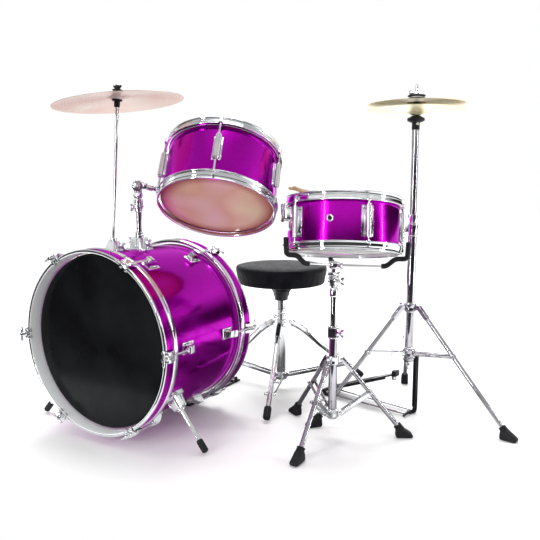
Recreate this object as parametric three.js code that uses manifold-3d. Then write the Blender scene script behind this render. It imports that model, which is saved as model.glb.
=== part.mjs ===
// A junior acoustic drum kit: 16 inch bass drum with a 10 inch tom and a 12 inch crash cymbal on it,
// a 10 inch snare drum on its stand, hi-hats, a bass pedal and a round throne.
// Millimetres, +Z up. The layout frame has its origin on the floor under the centre of the bass drum's
// front hoop, +Y along the bass drum from front to rear, and +X to the right as seen from the front.
import * as THREE from 'three';
import { mergeVertices } from 'three/addons/utils/BufferGeometryUtils.js';
import Module from 'manifold-3d';

const wasm = await Module();
wasm.setup();

// ---- Driving dimensions ----------------------------------------------------------------------------

const GAP = 0.4;                     // clearance between touching pieces
const LAYOUT_SHIFT = [-291, -397.4, 0];   // moves the layout frame's origin to the kit's footprint centre

const BASS = {
  shellR: 203.2, wall: 6.5, depth: 334.6, axisHeight: 234.2, headInset: 27,
  hoopR: 216, hoopWall: 7, hoopWidth: 42, segments: 36,
  lugCount: 6, rodR: 3, rodCircleR: 221, lugFrom: 72, lugLength: 34, lugWidth: 24, lugTopR: 227,
  handleReach: 13, handleLength: 36, clawWidth: 26, clawLength: 34, clawHook: 18, clawThickness: 4,
  headLip: 5,
};
const TOM = {
  shellR: 127, wall: 6, depth: 156.5, hoopHeight: 20.5, headInset: 10, segments: 28,
  lugCount: 5, lugLength: 60, lugWidth: 16, lugTopR: 143, firstLug: 45.7, headLip: 2.2,
  centre: [229.7, 170.2, 536.9], tilt: 31.6, heading: 110.3,
};
const SNARE = {
  shellR: 127, wall: 6, depth: 126.5, hoopHeight: 20.5, headInset: 10, segments: 28,
  lugCount: 5, lugLength: 68, lugWidth: 14, lugTopR: 143, firstLug: 60.5, headLip: 2.2,
  centre: [472.9, 320.5, 435.2], tilt: 10.5, heading: 112.4,
  strainerAngle: 114, ventAngle: 169, ventR: 6, ventDepth: 4,
};
const FILM = 0.8;                    // thickness of a drum head
const HEAD_SKIRT = { depth: 9, clearance: 1 };   // the head's rim around the end of the shell
const ROD_CIRCLE_R = 136.5;          // tension rods of the tom and the snare drum
const TENSION_ROD_R = 2.8;

const CRASH = { radius: 152, bellR: 28, bow: 14, bell: 24, thickness: 1.2,
  centre: [-16.5, 128.5, 783.2], tilt: 5.7, heading: 200 };
const HAT = { radius: 118, bellR: 24, bow: 5.5, bell: 12, thickness: 1.2,
  bottomRim: 773.8, topRim: 788 };
const CYMBAL_HOLE_R = 6.5;
const CYMBAL_SEGMENTS = 30;

const CRASH_ROD = { foot: [-34, 111, 400], radius: 4 };
const TOM_POST = { at: [0, 169], radius: 7, from: 395, to: 560 };
const TOM_ELBOW_HEIGHT = 590;
const TOM_ARM_R = 5;
const SPUR = { foot: [259.2, 78.3, 5.3], entry: [165, 86, 113], radius: 5, capR: 8, capLength: 32 };

const SNARE_TRIPOD = { name: 'snare_stand', centre: [457.5, 311.5], headings: [29, 149, 269],
  footR: 166.4, upperZ: 188, lowerZ: 60, tubeR: 10, boreR: 8, upperPivotR: 24, lowerPivotR: 21,
  braceAt: 0.45, legR: 5.5, shoe: true, footZ: 14 };
const HAT_TRIPOD = { name: 'hihat', centre: [564.5, 545.9], headings: [-10.4, 109.6, 229.6],
  footR: 260.5, upperZ: 284, lowerZ: 165, tubeR: 11, boreR: 8.5, upperPivotR: 26, lowerPivotR: 22,
  braceAt: 0.4, legR: 5.5, shoe: true, footZ: 14 };
const THRONE_TRIPOD = { name: 'throne', centre: [181, 557], headings: [-68.6, 51.4, 171.4],
  footR: 270, upperZ: 199, lowerZ: 42, tubeR: 13, boreR: 11.2, upperPivotR: 30, lowerPivotR: 24,
  braceAt: 0.76, legR: 7, shoe: false, footZ: 9.6 };
const COLLAR_HEIGHT = 20;
const COLLAR_WALL = 5;
const TONGUE = 5;                    // thickness of the ear that a leg is forked over
const CHEEK = 3;                     // thickness of one side of a leg's fork, and of a brace strip
const TUBE_SIDES = 14;

const SNARE_TUBE = { from: 48, clampFrom: 242, clampTo: 269 };
const SNARE_UPPER = { radius: 7.6, from: 130, to: 353 };
const BASKET = { hubHeight: -24, hubOffset: -17.6, hubR: 13, armR: 4, reach: 146, hookTop: 30,
  hookAngles: [22, 125, 238] };
const HAT_TUBE = { from: 145, clampFrom: 467, clampTo: 492 };
const HAT_UPPER = { radius: 8, boreR: 4.2, from: 310, to: 728, cupR: 18 };
const PULL_ROD = { radius: 3, from: 122, to: 837 };
const HAT_PEDAL = { heading: 168, heelR: 248, toeR: 42, heelZ: 16, toeZ: 98, width: 66 };
const THRONE_TUBE = { from: 30, to: 240 };
const SEAT = { radius: 130, bottomR: 124, top: 369, thickness: 55, bossHeight: 49, bossR: 19.5, bossTopR: 40,
  postR: 10.8, postFrom: 90 };
const PEDAL = { postX: 34, postY: 352, axleZ: 188, heelY: 540, heelZ: 14, toeY: 366, toeZ: 82,
  beaterLength: 105, beaterLean: 35, beaterR: 18 };

// ---- Materials -------------------------------------------------------------------------------------

function material(color, roughness, metalness) {
  return new THREE.MeshStandardMaterial({ color, roughness, metalness });
}
const wrap = material(0xa8089a, 0.25, 0.5);
const chrome = material(0xd8dce0, 0.12, 1);
const blackHead = material(0x08090a, 0.2, 0);
const clearHead = material(0xe8d4cc, 0.35, 0);
const bronze = material(0xe2cfae, 0.3, 0.9);
const blackPlastic = material(0x141416, 0.5, 0);
const vinyl = material(0x1c1d20, 0.45, 0);
const steelWire = material(0xb8bcc0, 0.35, 1);

// ---- Geometry helpers ------------------------------------------------------------------------------

const radians = THREE.MathUtils.degToRad;

// Merges shared corners, drops collapsed triangles and turns every face outwards.
function welded(geometry) {
  const bare = geometry.clone();
  bare.deleteAttribute('normal');
  bare.deleteAttribute('uv');
  const merged = mergeVertices(bare, 1e-3);
  const place = merged.attributes.position;
  const corner = (i) => new THREE.Vector3().fromBufferAttribute(place, i);
  const faces = [];
  let volume = 0;
  for (let i = 0; i < merged.index.count; i += 3) {
    const [a, b, c] = [0, 1, 2].map((k) => merged.index.getX(i + k));
    if (a === b || b === c || a === c) continue;
    faces.push([a, b, c]);
    volume += corner(a).dot(corner(b).cross(corner(c)));
  }
  const outward = volume > 0 ? faces : faces.map(([a, b, c]) => [a, c, b]);
  merged.setIndex(outward.flat());
  return merged;
}

function solidOf(geometry) {
  const closed = welded(geometry);
  const vertProperties = new Float32Array(closed.attributes.position.array);
  const triVerts = new Uint32Array(closed.index.array);
  return new wasm.Manifold(new wasm.Mesh({ numProp: 3, vertProperties, triVerts }));
}

function geometryOf(solid) {
  const mesh = solid.getMesh();
  const geometry = new THREE.BufferGeometry();
  geometry.setAttribute('position', new THREE.Float32BufferAttribute(mesh.vertProperties, 3));
  geometry.setIndex([...mesh.triVerts]);
  return geometry;
}

// One body from several geometries that overlap, less the cutters.
function joined(geometries, cutters = []) {
  let solid = solidOf(geometries[0]);
  for (const other of geometries.slice(1)) solid = solid.add(solidOf(other));
  for (const cutter of cutters) solid = solid.subtract(solidOf(cutter));
  return geometryOf(solid);
}

// A body of revolution about +Z; the profile lists [radius, height] and starts and ends on the axis.
function turned(profile, segments = TUBE_SIDES) {
  const points = profile.map(([r, z]) => new THREE.Vector2(r, z));
  return new THREE.LatheGeometry(points, segments).rotateX(Math.PI / 2);
}

// A ring about +Z whose profile closes on itself.
function turnedRing(profile, segments) {
  return turned([...profile, profile[0]], segments);
}

function pipe(outerR, innerR, from, to, segments = TUBE_SIDES) {
  return turnedRing([[innerR, from], [outerR, from], [outerR, to], [innerR, to]], segments);
}

function block(sizeX, sizeY, sizeZ, x = 0, y = 0, z = 0) {
  return new THREE.BoxGeometry(sizeX, sizeY, sizeZ).translate(x, y, z);
}

// Turns +Z into the given direction and moves the origin to a point.
function aimed(geometry, from, direction) {
  const up = new THREE.Vector3(0, 0, 1);
  const turn = new THREE.Quaternion().setFromUnitVectors(up, direction.clone().normalize());
  return geometry.applyQuaternion(turn).translate(from.x, from.y, from.z);
}

function rod(from, to, radius, sides = 8) {
  const start = new THREE.Vector3(...from);
  const reach = new THREE.Vector3(...to).sub(start);
  const length = reach.length();
  return aimed(turned([[0, 0], [radius, 0], [radius, length], [0, length]], sides), start, reach);
}

// A round bar along a path with softened bends.
function bentRod(points, radius) {
  const path = new THREE.CatmullRomCurve3(points.map((point) => new THREE.Vector3(...point)), false,
    'catmullrom', 0.15);
  const section = new THREE.Shape(Array.from({ length: 6 }, (_, i) => {
    const angle = (i * Math.PI) / 3;
    return new THREE.Vector2(radius * Math.cos(angle), radius * Math.sin(angle));
  }));
  return new THREE.ExtrudeGeometry(section, { extrudePath: path, steps: 4 * (points.length - 1) });
}

// A slab with its middle line from one point to another in the XZ plane, and its width along Y.
function strip([x1, z1], [x2, z2], width, thickness, y = 0) {
  const length = Math.hypot(x2 - x1, z2 - z1);
  const slope = Math.atan2(z2 - z1, x2 - x1);
  return block(length, width, thickness).rotateY(-slope).translate((x1 + x2) / 2, y, (z1 + z2) / 2);
}

function outlineSlab(outline, width) {
  const shape = new THREE.Shape(outline.map(([x, z]) => new THREE.Vector2(x, z)));
  const slab = new THREE.ExtrudeGeometry(shape, { depth: width, bevelEnabled: false });
  return slab.rotateX(Math.PI / 2).translate(0, width / 2, 0);
}

function around(count, firstAngle, make) {
  return Array.from({ length: count }, (_, i) =>
    make().map((geometry) => geometry.rotateZ(radians(firstAngle + (i * 360) / count)))).flat();
}

function part(name, geometry, look, group = kit) {
  const mesh = new THREE.Mesh(welded(geometry), look);
  mesh.name = name;
  group.add(mesh);
  return mesh;
}

// A piece drawn in the layout frame that turns or slides about its own origin at the pivot.
function movingPart(name, geometry, look, pivot) {
  const mesh = part(name, geometry.translate(-pivot[0], -pivot[1], -pivot[2]), look);
  mesh.position.set(...pivot);
  return mesh;
}

const kit = new THREE.Group();
kit.position.set(...LAYOUT_SHIFT);

function leaningGroup({ centre, tilt, heading }) {
  const group = new THREE.Group();
  group.position.set(...centre);
  group.rotation.set(0, radians(tilt), radians(heading), 'ZYX');
  kit.add(group);
  group.updateMatrixWorld(true);
  return group;
}

// A point given in a leaning group's frame, in the layout frame.
function inLayout(group, [x, y, z]) {
  return new THREE.Vector3(x, y, z).applyMatrix4(group.matrix).toArray();
}

// ---- Bass drum -------------------------------------------------------------------------------------

// Turns a body drawn about +Z into one about the bass drum's axis, front to rear.
function alongBass(geometry) {
  return geometry.rotateX(-Math.PI / 2).translate(0, 0, BASS.axisHeight);
}

function bassLug(from) {
  const height = BASS.lugTopR - BASS.shellR + 2;
  const middle = from + BASS.lugLength / 2;
  return block(height, BASS.lugWidth, BASS.lugLength, BASS.lugTopR - height / 2, 0, middle);
}

// A cast bracket on the shell, narrowing outwards, in the layout frame.
function shellBracket(at, outward, height, width) {
  const casting = new THREE.CylinderGeometry(width * 0.5, width * 0.68, height, 4, 1)
    .rotateY(Math.PI / 4).rotateX(Math.PI / 2).translate(0, 0, height / 2 - 4);
  return aimed(casting, new THREE.Vector3(...at), new THREE.Vector3(...outward));
}

function bassShell() {
  const inset = BASS.headInset + 1;
  const shell = pipe(BASS.shellR, BASS.shellR - BASS.wall, inset, BASS.depth - inset, BASS.segments);
  const rearLug = BASS.depth - BASS.lugFrom - BASS.lugLength;
  const lugs = around(BASS.lugCount, 0, () => [bassLug(BASS.lugFrom), bassLug(rearLug)]);
  const crown = BASS.axisHeight + BASS.shellR;
  const brackets = [shellBracket([TOM_POST.at[0], TOM_POST.at[1], crown], [0, 0, 1], 30, 38)];
  const bores = [rod([...TOM_POST.at, crown - 30], [...TOM_POST.at, crown + 50], TOM_POST.radius + GAP, 12)];
  const crashAxis = crashRodAxis();
  const crashBase = crashAxis.pointAtHeight(crown - 2);
  brackets.push(shellBracket(crashBase, crashAxis.direction.toArray(), 30, 34));
  bores.push(rod(crashAxis.pointAtHeight(crown - 30), crashAxis.pointAtHeight(crown + 50),
    CRASH_ROD.radius + GAP, 12));
  for (const side of [-1, 1]) {
    const { inner, outer } = spurEnds(side);
    const entry = [side * SPUR.entry[0], SPUR.entry[1], SPUR.entry[2]];
    const outward = new THREE.Vector3(...outer).sub(new THREE.Vector3(...inner));
    brackets.push(shellBracket(entry, outward.toArray(), 40, 32));
    bores.push(rod(inner, new THREE.Vector3(...entry).addScaledVector(outward.normalize(), 60).toArray(),
      SPUR.radius + GAP, 12));
  }
  return joined([...[shell, ...lugs].map(alongBass), ...brackets], bores);
}

// A ring hoop with its claws and T-handled rods in one piece; drawn at the front.
function bassHoop() {
  const ring = pipe(BASS.hoopR, BASS.hoopR - BASS.hoopWall, 0, BASS.hoopWidth, BASS.segments);
  const hookR = BASS.hoopR - 1;
  const backR = BASS.hoopR + 4;
  const front = 0.5 - BASS.clawThickness;
  const fittings = around(BASS.lugCount, 0, () => [
    block(BASS.clawHook / 2, BASS.clawWidth, BASS.clawLength, backR, 0, front + BASS.clawLength / 2),
    block(BASS.clawHook, BASS.clawWidth, BASS.clawThickness, hookR, 0, front + BASS.clawThickness / 2),
    rod([BASS.rodCircleR, 0, -BASS.handleReach], [BASS.rodCircleR, 0, BASS.lugFrom - GAP], BASS.rodR, 6),
    rod([BASS.rodCircleR, -BASS.handleLength / 2, -BASS.handleReach],
      [BASS.rodCircleR, BASS.handleLength / 2, -BASS.handleReach], BASS.rodR, 6),
  ]);
  return joined([ring, ...fittings]);
}

// A head's film and its rim; drawn at the drum's first face.
function headDisc({ shellR, headInset, headLip, segments }) {
  const outer = shellR + headLip;
  const inner = shellR + HEAD_SKIRT.clearance;
  const [front, back, end] = [headInset - FILM / 2, headInset + FILM / 2, headInset + HEAD_SKIRT.depth];
  return turned([[0, front], [outer, front], [outer, end], [inner, end], [inner, back], [0, back]], segments);
}

// Mirrors a piece drawn at a drum's first face to its other face.
function farSide(geometry, depth) {
  return geometry.scale(1, 1, -1).translate(0, 0, depth);
}

function addBassDrum() {
  part('bass_shell', bassShell(), wrap);
  part('bass_front_hoop', alongBass(bassHoop()), wrap);
  part('bass_rear_hoop', alongBass(farSide(bassHoop(), BASS.depth)), wrap);
  part('bass_front_head', alongBass(headDisc(BASS)), blackHead);
  part('bass_batter_head', alongBass(farSide(headDisc(BASS), BASS.depth)), clearHead);
  for (const [name, side] of [['spur_left', -1], ['spur_right', 1]]) addSpur(name, side);
}

// The spur's foot, and its end inside the drum, on one side of the bass drum.
function spurEnds(side) {
  const foot = new THREE.Vector3(side * SPUR.foot[0], SPUR.foot[1], SPUR.foot[2]);
  const entry = new THREE.Vector3(side * SPUR.entry[0], SPUR.entry[1], SPUR.entry[2]);
  const inward = entry.clone().sub(foot).normalize();
  return { outer: foot.toArray(), inner: entry.addScaledVector(inward, 18).toArray(), inward };
}

function addSpur(name, side) {
  const { outer, inner, inward } = spurEnds(side);
  const capEnd = new THREE.Vector3(...outer).addScaledVector(inward, SPUR.capLength).toArray();
  const spur = joined([rod(outer, inner, SPUR.radius, 10), rod(outer, capEnd, SPUR.capR, 12)]);
  movingPart(name, spur, chrome, outer);
}

// ---- Tom and snare drum ----------------------------------------------------------------------------

function drumShell(drum, extras = [], cutters = []) {
  const inset = drum.headInset + 1;
  const wall = pipe(drum.shellR, drum.shellR - drum.wall, inset, drum.depth - inset, drum.segments);
  const height = drum.lugTopR - drum.shellR + 2;
  const lugs = around(drum.lugCount, drum.firstLug, () =>
    [block(height, drum.lugWidth, drum.lugLength, drum.lugTopR - height / 2, 0, drum.depth / 2)]);
  return joined([wall, ...lugs, ...extras], cutters);
}

// A triple-flanged hoop with its tension rods; drawn at the bottom face.
function flangedHoop(drum) {
  const inner = drum.shellR + 2.7;
  const height = drum.hoopHeight;
  const ring = turnedRing([[inner, 0], [inner + 4.8, 0], [inner + 4.8, 2.5], [inner + 2, 2.5],
    [inner + 2, height - 2.5], [inner + 9.5, height - 2.5], [inner + 9.5, height], [inner, height]],
  drum.segments);
  const rodEnd = (drum.depth - drum.lugLength) / 2 - GAP;
  const rods = around(drum.lugCount, drum.firstLug, () =>
    [rod([ROD_CIRCLE_R, 0, height - 8], [ROD_CIRCLE_R, 0, rodEnd], TENSION_ROD_R, 4)]);
  return joined([ring, ...rods]);
}

function addHoopsAndHeads(name, drum, group, otherName) {
  part(`${name}_batter_hoop`, farSide(flangedHoop(drum), drum.depth), chrome, group);
  part(`${name}_${otherName}_hoop`, flangedHoop(drum), chrome, group);
  part(`${name}_batter_head`, farSide(headDisc(drum), drum.depth), clearHead, group);
  part(`${name}_${otherName}_head`, headDisc(drum), clearHead, group);
}

const TOM_MOUNT_ANGLE = 69.7;        // between two lugs, facing the post on the bass drum
const TOM_MOUNT_HEIGHT = 78;

function addTom() {
  const group = leaningGroup(TOM);
  const mount = block(26, 30, 44, TOM.shellR + 11, 0, TOM_MOUNT_HEIGHT).rotateZ(radians(TOM_MOUNT_ANGLE));
  part('tom_shell', drumShell(TOM, [mount]), wrap, group);
  addHoopsAndHeads('tom', TOM, group, 'resonant');
  const angle = radians(TOM_MOUNT_ANGLE);
  const reach = TOM.shellR + 24 + 3.2;
  const armEnd = inLayout(group, [reach * Math.cos(angle), reach * Math.sin(angle), TOM_MOUNT_HEIGHT]);
  addTomHolder(armEnd);
}

// The post that slides in the bass drum's bracket, the elbow that swivels on it, and the tom's arm.
function addTomHolder(armEnd) {
  const [x, y] = TOM_POST.at;
  const elbow = [x, y, TOM_ELBOW_HEIGHT];
  const post = turned([[0, TOM_POST.from], [TOM_POST.radius, TOM_POST.from], [TOM_POST.radius, TOM_POST.to],
    [0, TOM_POST.to]]).translate(x, y, 0);
  movingPart('tom_post', post, chrome, [x, y, TOM_POST.to]);
  const socket = pipe(10.5, TOM_POST.radius + GAP, 528, 560 + GAP).translate(x, y, 0);
  const cap = turned([[0, 560 + GAP], [10.5, 560 + GAP], [10.5, 576], [0, 576]]).translate(x, y, 0);
  const toward = new THREE.Vector3(armEnd[0] - x, armEnd[1] - y, 0).normalize();
  const across = new THREE.Vector3(-toward.y, toward.x, 0);
  const tongue = block(18, 7, 26).rotateZ(Math.atan2(toward.y, toward.x))
    .translate(x, y, TOM_ELBOW_HEIGHT - 4);
  movingPart('tom_elbow', joined([cap, socket, tongue]), chrome, [x, y, TOM_POST.to]);
  const cheeks = [-1, 1].map((side) => aimed(
    turned([[0, 0], [14, 0], [14, 5], [0, 5]], 12),
    new THREE.Vector3(...elbow).addScaledVector(across, side * (3.5 + GAP)),
    across.clone().multiplyScalar(side)));
  const yoke = block(9, 7 + 2 * (5 + GAP), 16).rotateZ(Math.atan2(toward.y, toward.x))
    .translate(...new THREE.Vector3(...elbow).addScaledVector(toward, 17).toArray());
  const armStart = new THREE.Vector3(...elbow).addScaledVector(toward, 15).toArray();
  movingPart('tom_arm', joined([...cheeks, yoke, rod(armStart, armEnd, TOM_ARM_R, 10)]), chrome, elbow);
}

function addSnareDrum() {
  const group = leaningGroup(SNARE);
  const strainer = block(16, 34, 40, SNARE.shellR + 6, 0, 78).rotateZ(radians(SNARE.strainerAngle));
  const butt = block(16, 30, 26, SNARE.shellR + 6, 0, 44).rotateZ(radians(SNARE.strainerAngle + 180));
  const vent = rod([SNARE.shellR - SNARE.ventDepth, 0, 70], [SNARE.shellR + 6, 0, 70], SNARE.ventR, 12)
    .rotateZ(radians(SNARE.ventAngle));
  part('snare_shell', drumShell(SNARE, [strainer, butt], [vent]), wrap, group);
  addHoopsAndHeads('snare', SNARE, group, 'side');
  const wires = block(228, 42, 1.2, 0, 0, SNARE.headInset - 1.6).rotateZ(radians(SNARE.strainerAngle));
  part('snare_wires', wires, steelWire, group);
  const leverR = SNARE.shellR + 14 + GAP;
  const lever = joined([block(5, 10, 40, 2.5, 0, 16), block(7, 15, 22, 3.5, 0, 28)]);
  const mesh = part('strainer_lever', lever, blackPlastic, group);
  mesh.position.set(leverR, 0, 70).applyAxisAngle(new THREE.Vector3(0, 0, 1), radians(SNARE.strainerAngle));
  mesh.rotation.z = radians(SNARE.strainerAngle);
  return group;
}

// ---- Cymbals ---------------------------------------------------------------------------------------

function cymbal({ radius, bellR, bow, bell, thickness }) {
  const middle = (radius + bellR) / 2;
  const upper = [[radius, 0], [middle, bow * 0.62], [bellR, bow], [bellR * 0.72, bell * 0.9 + bow * 0.05],
    [CYMBAL_HOLE_R, bell]];
  const lower = upper.map(([r, z]) => [r, z - thickness]).reverse();
  return turnedRing([...upper, ...lower], CYMBAL_SEGMENTS);
}

// The line that the crash cymbal's rod follows, from inside the bass drum to the cymbal's bell hole.
function crashRodAxis() {
  const foot = new THREE.Vector3(...CRASH_ROD.foot);
  const tilt = radians(CRASH.tilt);
  const heading = radians(CRASH.heading);
  const normal = new THREE.Vector3(Math.sin(tilt) * Math.cos(heading), Math.sin(tilt) * Math.sin(heading),
    Math.cos(tilt));
  const hole = new THREE.Vector3(...CRASH.centre).addScaledVector(normal, CRASH.bell);
  const direction = hole.clone().sub(foot).normalize();
  const pointAtHeight = (z) => foot.clone().addScaledVector(direction, (z - foot.z) / direction.z).toArray();
  return { foot, hole, direction, pointAtHeight };
}

function addCrash() {
  const { foot, hole, direction } = crashRodAxis();
  const reach = hole.distanceTo(foot);
  const r = CRASH_ROD.radius;
  const profile = [[0, 0], [r, 0], [r, reach - 34], [7, reach - 34], [7, reach - 20], [12, reach - 20],
    [12, reach - 8], [r, reach - 8], [r, reach + 3.5], [11, reach + 3.5], [11, reach + 10], [6, reach + 10],
    [6, reach + 19], [0, reach + 19]];
  movingPart('crash_rod', aimed(turned(profile), foot, direction), chrome, hole.toArray());
  const group = leaningGroup(CRASH);
  const crash = part('crash_cymbal', cymbal(CRASH).translate(0, 0, -CRASH.bell), bronze, group);
  crash.position.set(0, 0, CRASH.bell);
}

// ---- Folding tripods -------------------------------------------------------------------------------

// Where one leg and one brace lie in the vertical plane through the leg: [distance from the tube, height].
function tripodPlane(stand) {
  const top = [stand.upperPivotR, stand.upperZ];
  const foot = [stand.footR, stand.footZ];
  const at = (share) => [top[0] + (foot[0] - top[0]) * share, top[1] + (foot[1] - top[1]) * share];
  return { top, foot, at, pin: at(stand.braceAt), low: [stand.lowerPivotR, stand.lowerZ] };
}

function collar(stand, height, pivotR, tongueWidth) {
  const outer = stand.tubeR + COLLAR_WALL;
  const ring = pipe(outer, stand.tubeR + GAP, height - COLLAR_HEIGHT / 2, height + COLLAR_HEIGHT / 2);
  const from = outer - 2;
  const to = pivotR + 4;
  const tongues = stand.headings.map((heading) =>
    block(to - from, tongueWidth, 10, (from + to) / 2, 0, height).rotateZ(radians(heading)));
  return [ring, ...tongues];
}

const LEG_LIMIT = 9;                 // distance from the hinge pin at which a leg's tube begins
const CAP_LENGTH = 34;               // rubber cap on a throne leg

function leg(stand) {
  const { top, foot, at } = tripodPlane(stand);
  const length = Math.hypot(foot[0] - top[0], foot[1] - top[1]);
  const start = at(LEG_LIMIT / length);
  const cheekEnd = at(2.2 * LEG_LIMIT / length);
  const cheekY = TONGUE / 2 + GAP + CHEEK / 2;
  const cheeks = [-1, 1].map((side) => strip(at(-4 / length), cheekEnd, CHEEK, 10, side * cheekY));
  const tube = rod([start[0], 0, start[1]], [foot[0], 0, foot[1]], stand.legR, 8);
  return joined([tube, ...cheeks, stand.shoe ? shoe(foot) : cap(at(1 - CAP_LENGTH / length), foot)]);
}

// A rubber shoe with a flat sole and a toe that points away from the stand.
function shoe([x, z]) {
  return outlineSlab([[x - 17, 3], [x - 12, 0], [x + 22, 0], [x + 25, 5], [x + 16, 11], [x - 6, z + 22],
    [x - 21, z + 14]], 20);
}

// A round rubber cap over the end of a throne leg, with its lowest edge on the floor.
function cap(start, foot) {
  const slope = Math.atan2(foot[0] - start[0], start[1] - foot[1]);
  return rod([start[0], 0, start[1]], [foot[0], 0, foot[1]], foot[1] / Math.sin(slope), 16);
}

function brace(stand) {
  const { low, pin } = tripodPlane(stand);
  const length = Math.hypot(pin[0] - low[0], pin[1] - low[1]);
  const along = (d) => [low[0] + (pin[0] - low[0]) * d / length, low[1] + (pin[1] - low[1]) * d / length];
  const offset = stand.legR + GAP * 2 + CHEEK / 2;
  const strips = [-1, 1].map((side) => strip(along(-4), along(length + 4), CHEEK, 9, side * offset));
  const link = strip(along(length * 0.3), along(length * 0.3 + 7), 2 * offset, 5);
  return joined([...strips, link]);
}

// Legs hang on the upper collar and braces on the lower one; each turns about its own origin.
function addLegs(stand) {
  const { top, low } = tripodPlane(stand);
  stand.headings.forEach((heading, i) => {
    const turn = radians(heading);
    for (const [kind, shape, [r, z], look] of [['leg', leg(stand), top, chrome],
      ['brace', brace(stand), low, chrome]]) {
      const mesh = part(`${stand.name}_${kind}_${i + 1}`, shape.translate(-r, 0, -z), look);
      mesh.position.set(stand.centre[0] + r * Math.cos(turn), stand.centre[1] + r * Math.sin(turn), z);
      mesh.rotation.z = turn;
    }
  });
}

function addCollar(stand, name, height, pivotR, tongueWidth) {
  const casting = joined(collar(stand, height, pivotR, tongueWidth));
  const mesh = part(name, casting.translate(0, 0, -height), chrome);
  mesh.position.set(...stand.centre, height);
}

function lowerTongue(stand) {
  return 2 * (stand.legR + GAP);
}

// ---- Snare stand -----------------------------------------------------------------------------------

function addSnareStand(snareGroup) {
  const stand = SNARE_TRIPOD;
  const [x, y] = stand.centre;
  const clamp = pipe(13, stand.boreR, SNARE_TUBE.clampFrom, SNARE_TUBE.clampTo);
  const tube = joined([pipe(stand.tubeR, stand.boreR, SNARE_TUBE.from, SNARE_TUBE.clampTo), clamp,
    ...fixedCollar(stand)]).translate(x, y, 0);
  part('snare_stand_tube', tube, chrome);
  addCollar(stand, 'snare_stand_collar', stand.upperZ, stand.upperPivotR, TONGUE);
  addLegs(stand);
  const u = SNARE_UPPER;
  const upper = turned([[0, u.from], [u.radius, u.from], [u.radius, u.to], [0, u.to]]).translate(x, y, 0);
  const tongue = block(9, 16, 34, x, y, u.to + 12);
  movingPart('snare_stand_upper_tube', joined([upper, tongue]), chrome, [x, y, u.to]);
  addBasket(snareGroup, [x, y, u.to + 22]);
}

// The lower collar as part of the tube, without clearance to it.
function fixedCollar(stand) {
  const [, ...tongues] = collar(stand, stand.lowerZ, stand.lowerPivotR, lowerTongue(stand));
  const half = COLLAR_HEIGHT / 2;
  return [pipe(stand.tubeR + COLLAR_WALL, stand.boreR, stand.lowerZ - half, stand.lowerZ + half), ...tongues];
}

// Three arms from a hub under the drum, each ending in a hook that cradles the bottom hoop.
function addBasket(snareGroup, pivot) {
  const lateral = radians(BASKET.hookAngles[0] - SNARE.heading);
  const hub = [BASKET.hubOffset * Math.cos(lateral), BASKET.hubOffset * Math.sin(lateral), BASKET.hubHeight];
  const arms = BASKET.hookAngles.map((worldAngle) => {
    const angle = radians(worldAngle - SNARE.heading);
    const ray = (r, z) => [r * Math.cos(angle), r * Math.sin(angle), z];
    const points = [hub, ray(BASKET.reach - 52, BASKET.hubHeight), ray(BASKET.reach - 28, -8),
      ray(BASKET.reach, -8), ray(BASKET.reach + 1, BASKET.hookTop)];
    return bentRod(points.map((point) => inLayout(snareGroup, point)), BASKET.armR);
  });
  const hubAt = inLayout(snareGroup, hub);
  const [hubX, hubY, hubZ] = hubAt;
  const hubBody = rod([hubX, hubY, hubZ - 7], [hubX, hubY, hubZ + 7], BASKET.hubR, 12);
  const [x, y, z] = pivot;
  const neck = rod(hubAt, [hubX, hubY, z + 16], 6, 8);
  const cheekInner = 4.5 + GAP;
  const cheekOuter = 9.5 + GAP;
  const cheeks = [-1, 1].map((side) =>
    rod([x + side * cheekInner, y, z], [x + side * cheekOuter, y, z], 11, 12));
  const bridge = block(2 * cheekOuter, 20, 9, x, y, z + 15);
  movingPart('snare_basket', joined([hubBody, ...arms, neck, bridge, ...cheeks]), chrome, pivot);
}

// ---- Hi-hat ----------------------------------------------------------------------------------------

function addHiHat() {
  const stand = HAT_TRIPOD;
  const [x, y] = stand.centre;
  const clamp = pipe(13, stand.boreR, HAT_TUBE.clampFrom, HAT_TUBE.clampTo);
  const tube = joined([pipe(stand.tubeR, stand.boreR, HAT_TUBE.from, HAT_TUBE.clampTo), clamp,
    ...fixedCollar(stand), ...hatFrame(stand)]).translate(x, y, 0);
  part('hihat_tube', tube, chrome);
  addCollar(stand, 'hihat_collar', stand.upperZ, stand.upperPivotR, TONGUE);
  addLegs(stand);
  addHatSpindle(x, y);
  addFootboard(stand);
}

// The frame below the stand: a flat bar down to the floor, two wires and the heel plate.
function hatFrame(stand) {
  const { heelR, heelZ, heading, width } = HAT_PEDAL;
  const barHeading = (stand.headings[0] + stand.headings[1]) / 2;
  const barR = 24;
  const bar = block(6, 12, stand.lowerZ - 4, barR, 0, (stand.lowerZ - 4) / 2 + 2);
  const shoulder = block(14, 12, 8, barR - 6, 0, stand.lowerZ - 6);
  const crossFoot = block(14, 60, 7, -8, 0, 5.5);
  const wires = [-1, 1].map((side) => rod([-6, side * 18, 6], [heelR - 4, side * 24, 6], 2.4, 6));
  const heel = block(40, width, 7, heelR + 6, 0, 3.5);
  const earHeight = heelZ + 3;
  const ears = [-1, 1].map((side) =>
    block(14, 5, earHeight, heelR, side * (width / 2 - 2.5), earHeight / 2));
  return [...[bar, shoulder].map((piece) => piece.rotateZ(radians(barHeading))),
    ...[crossFoot, ...wires, heel, ...ears].map((piece) => piece.rotateZ(radians(heading)))];
}

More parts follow.
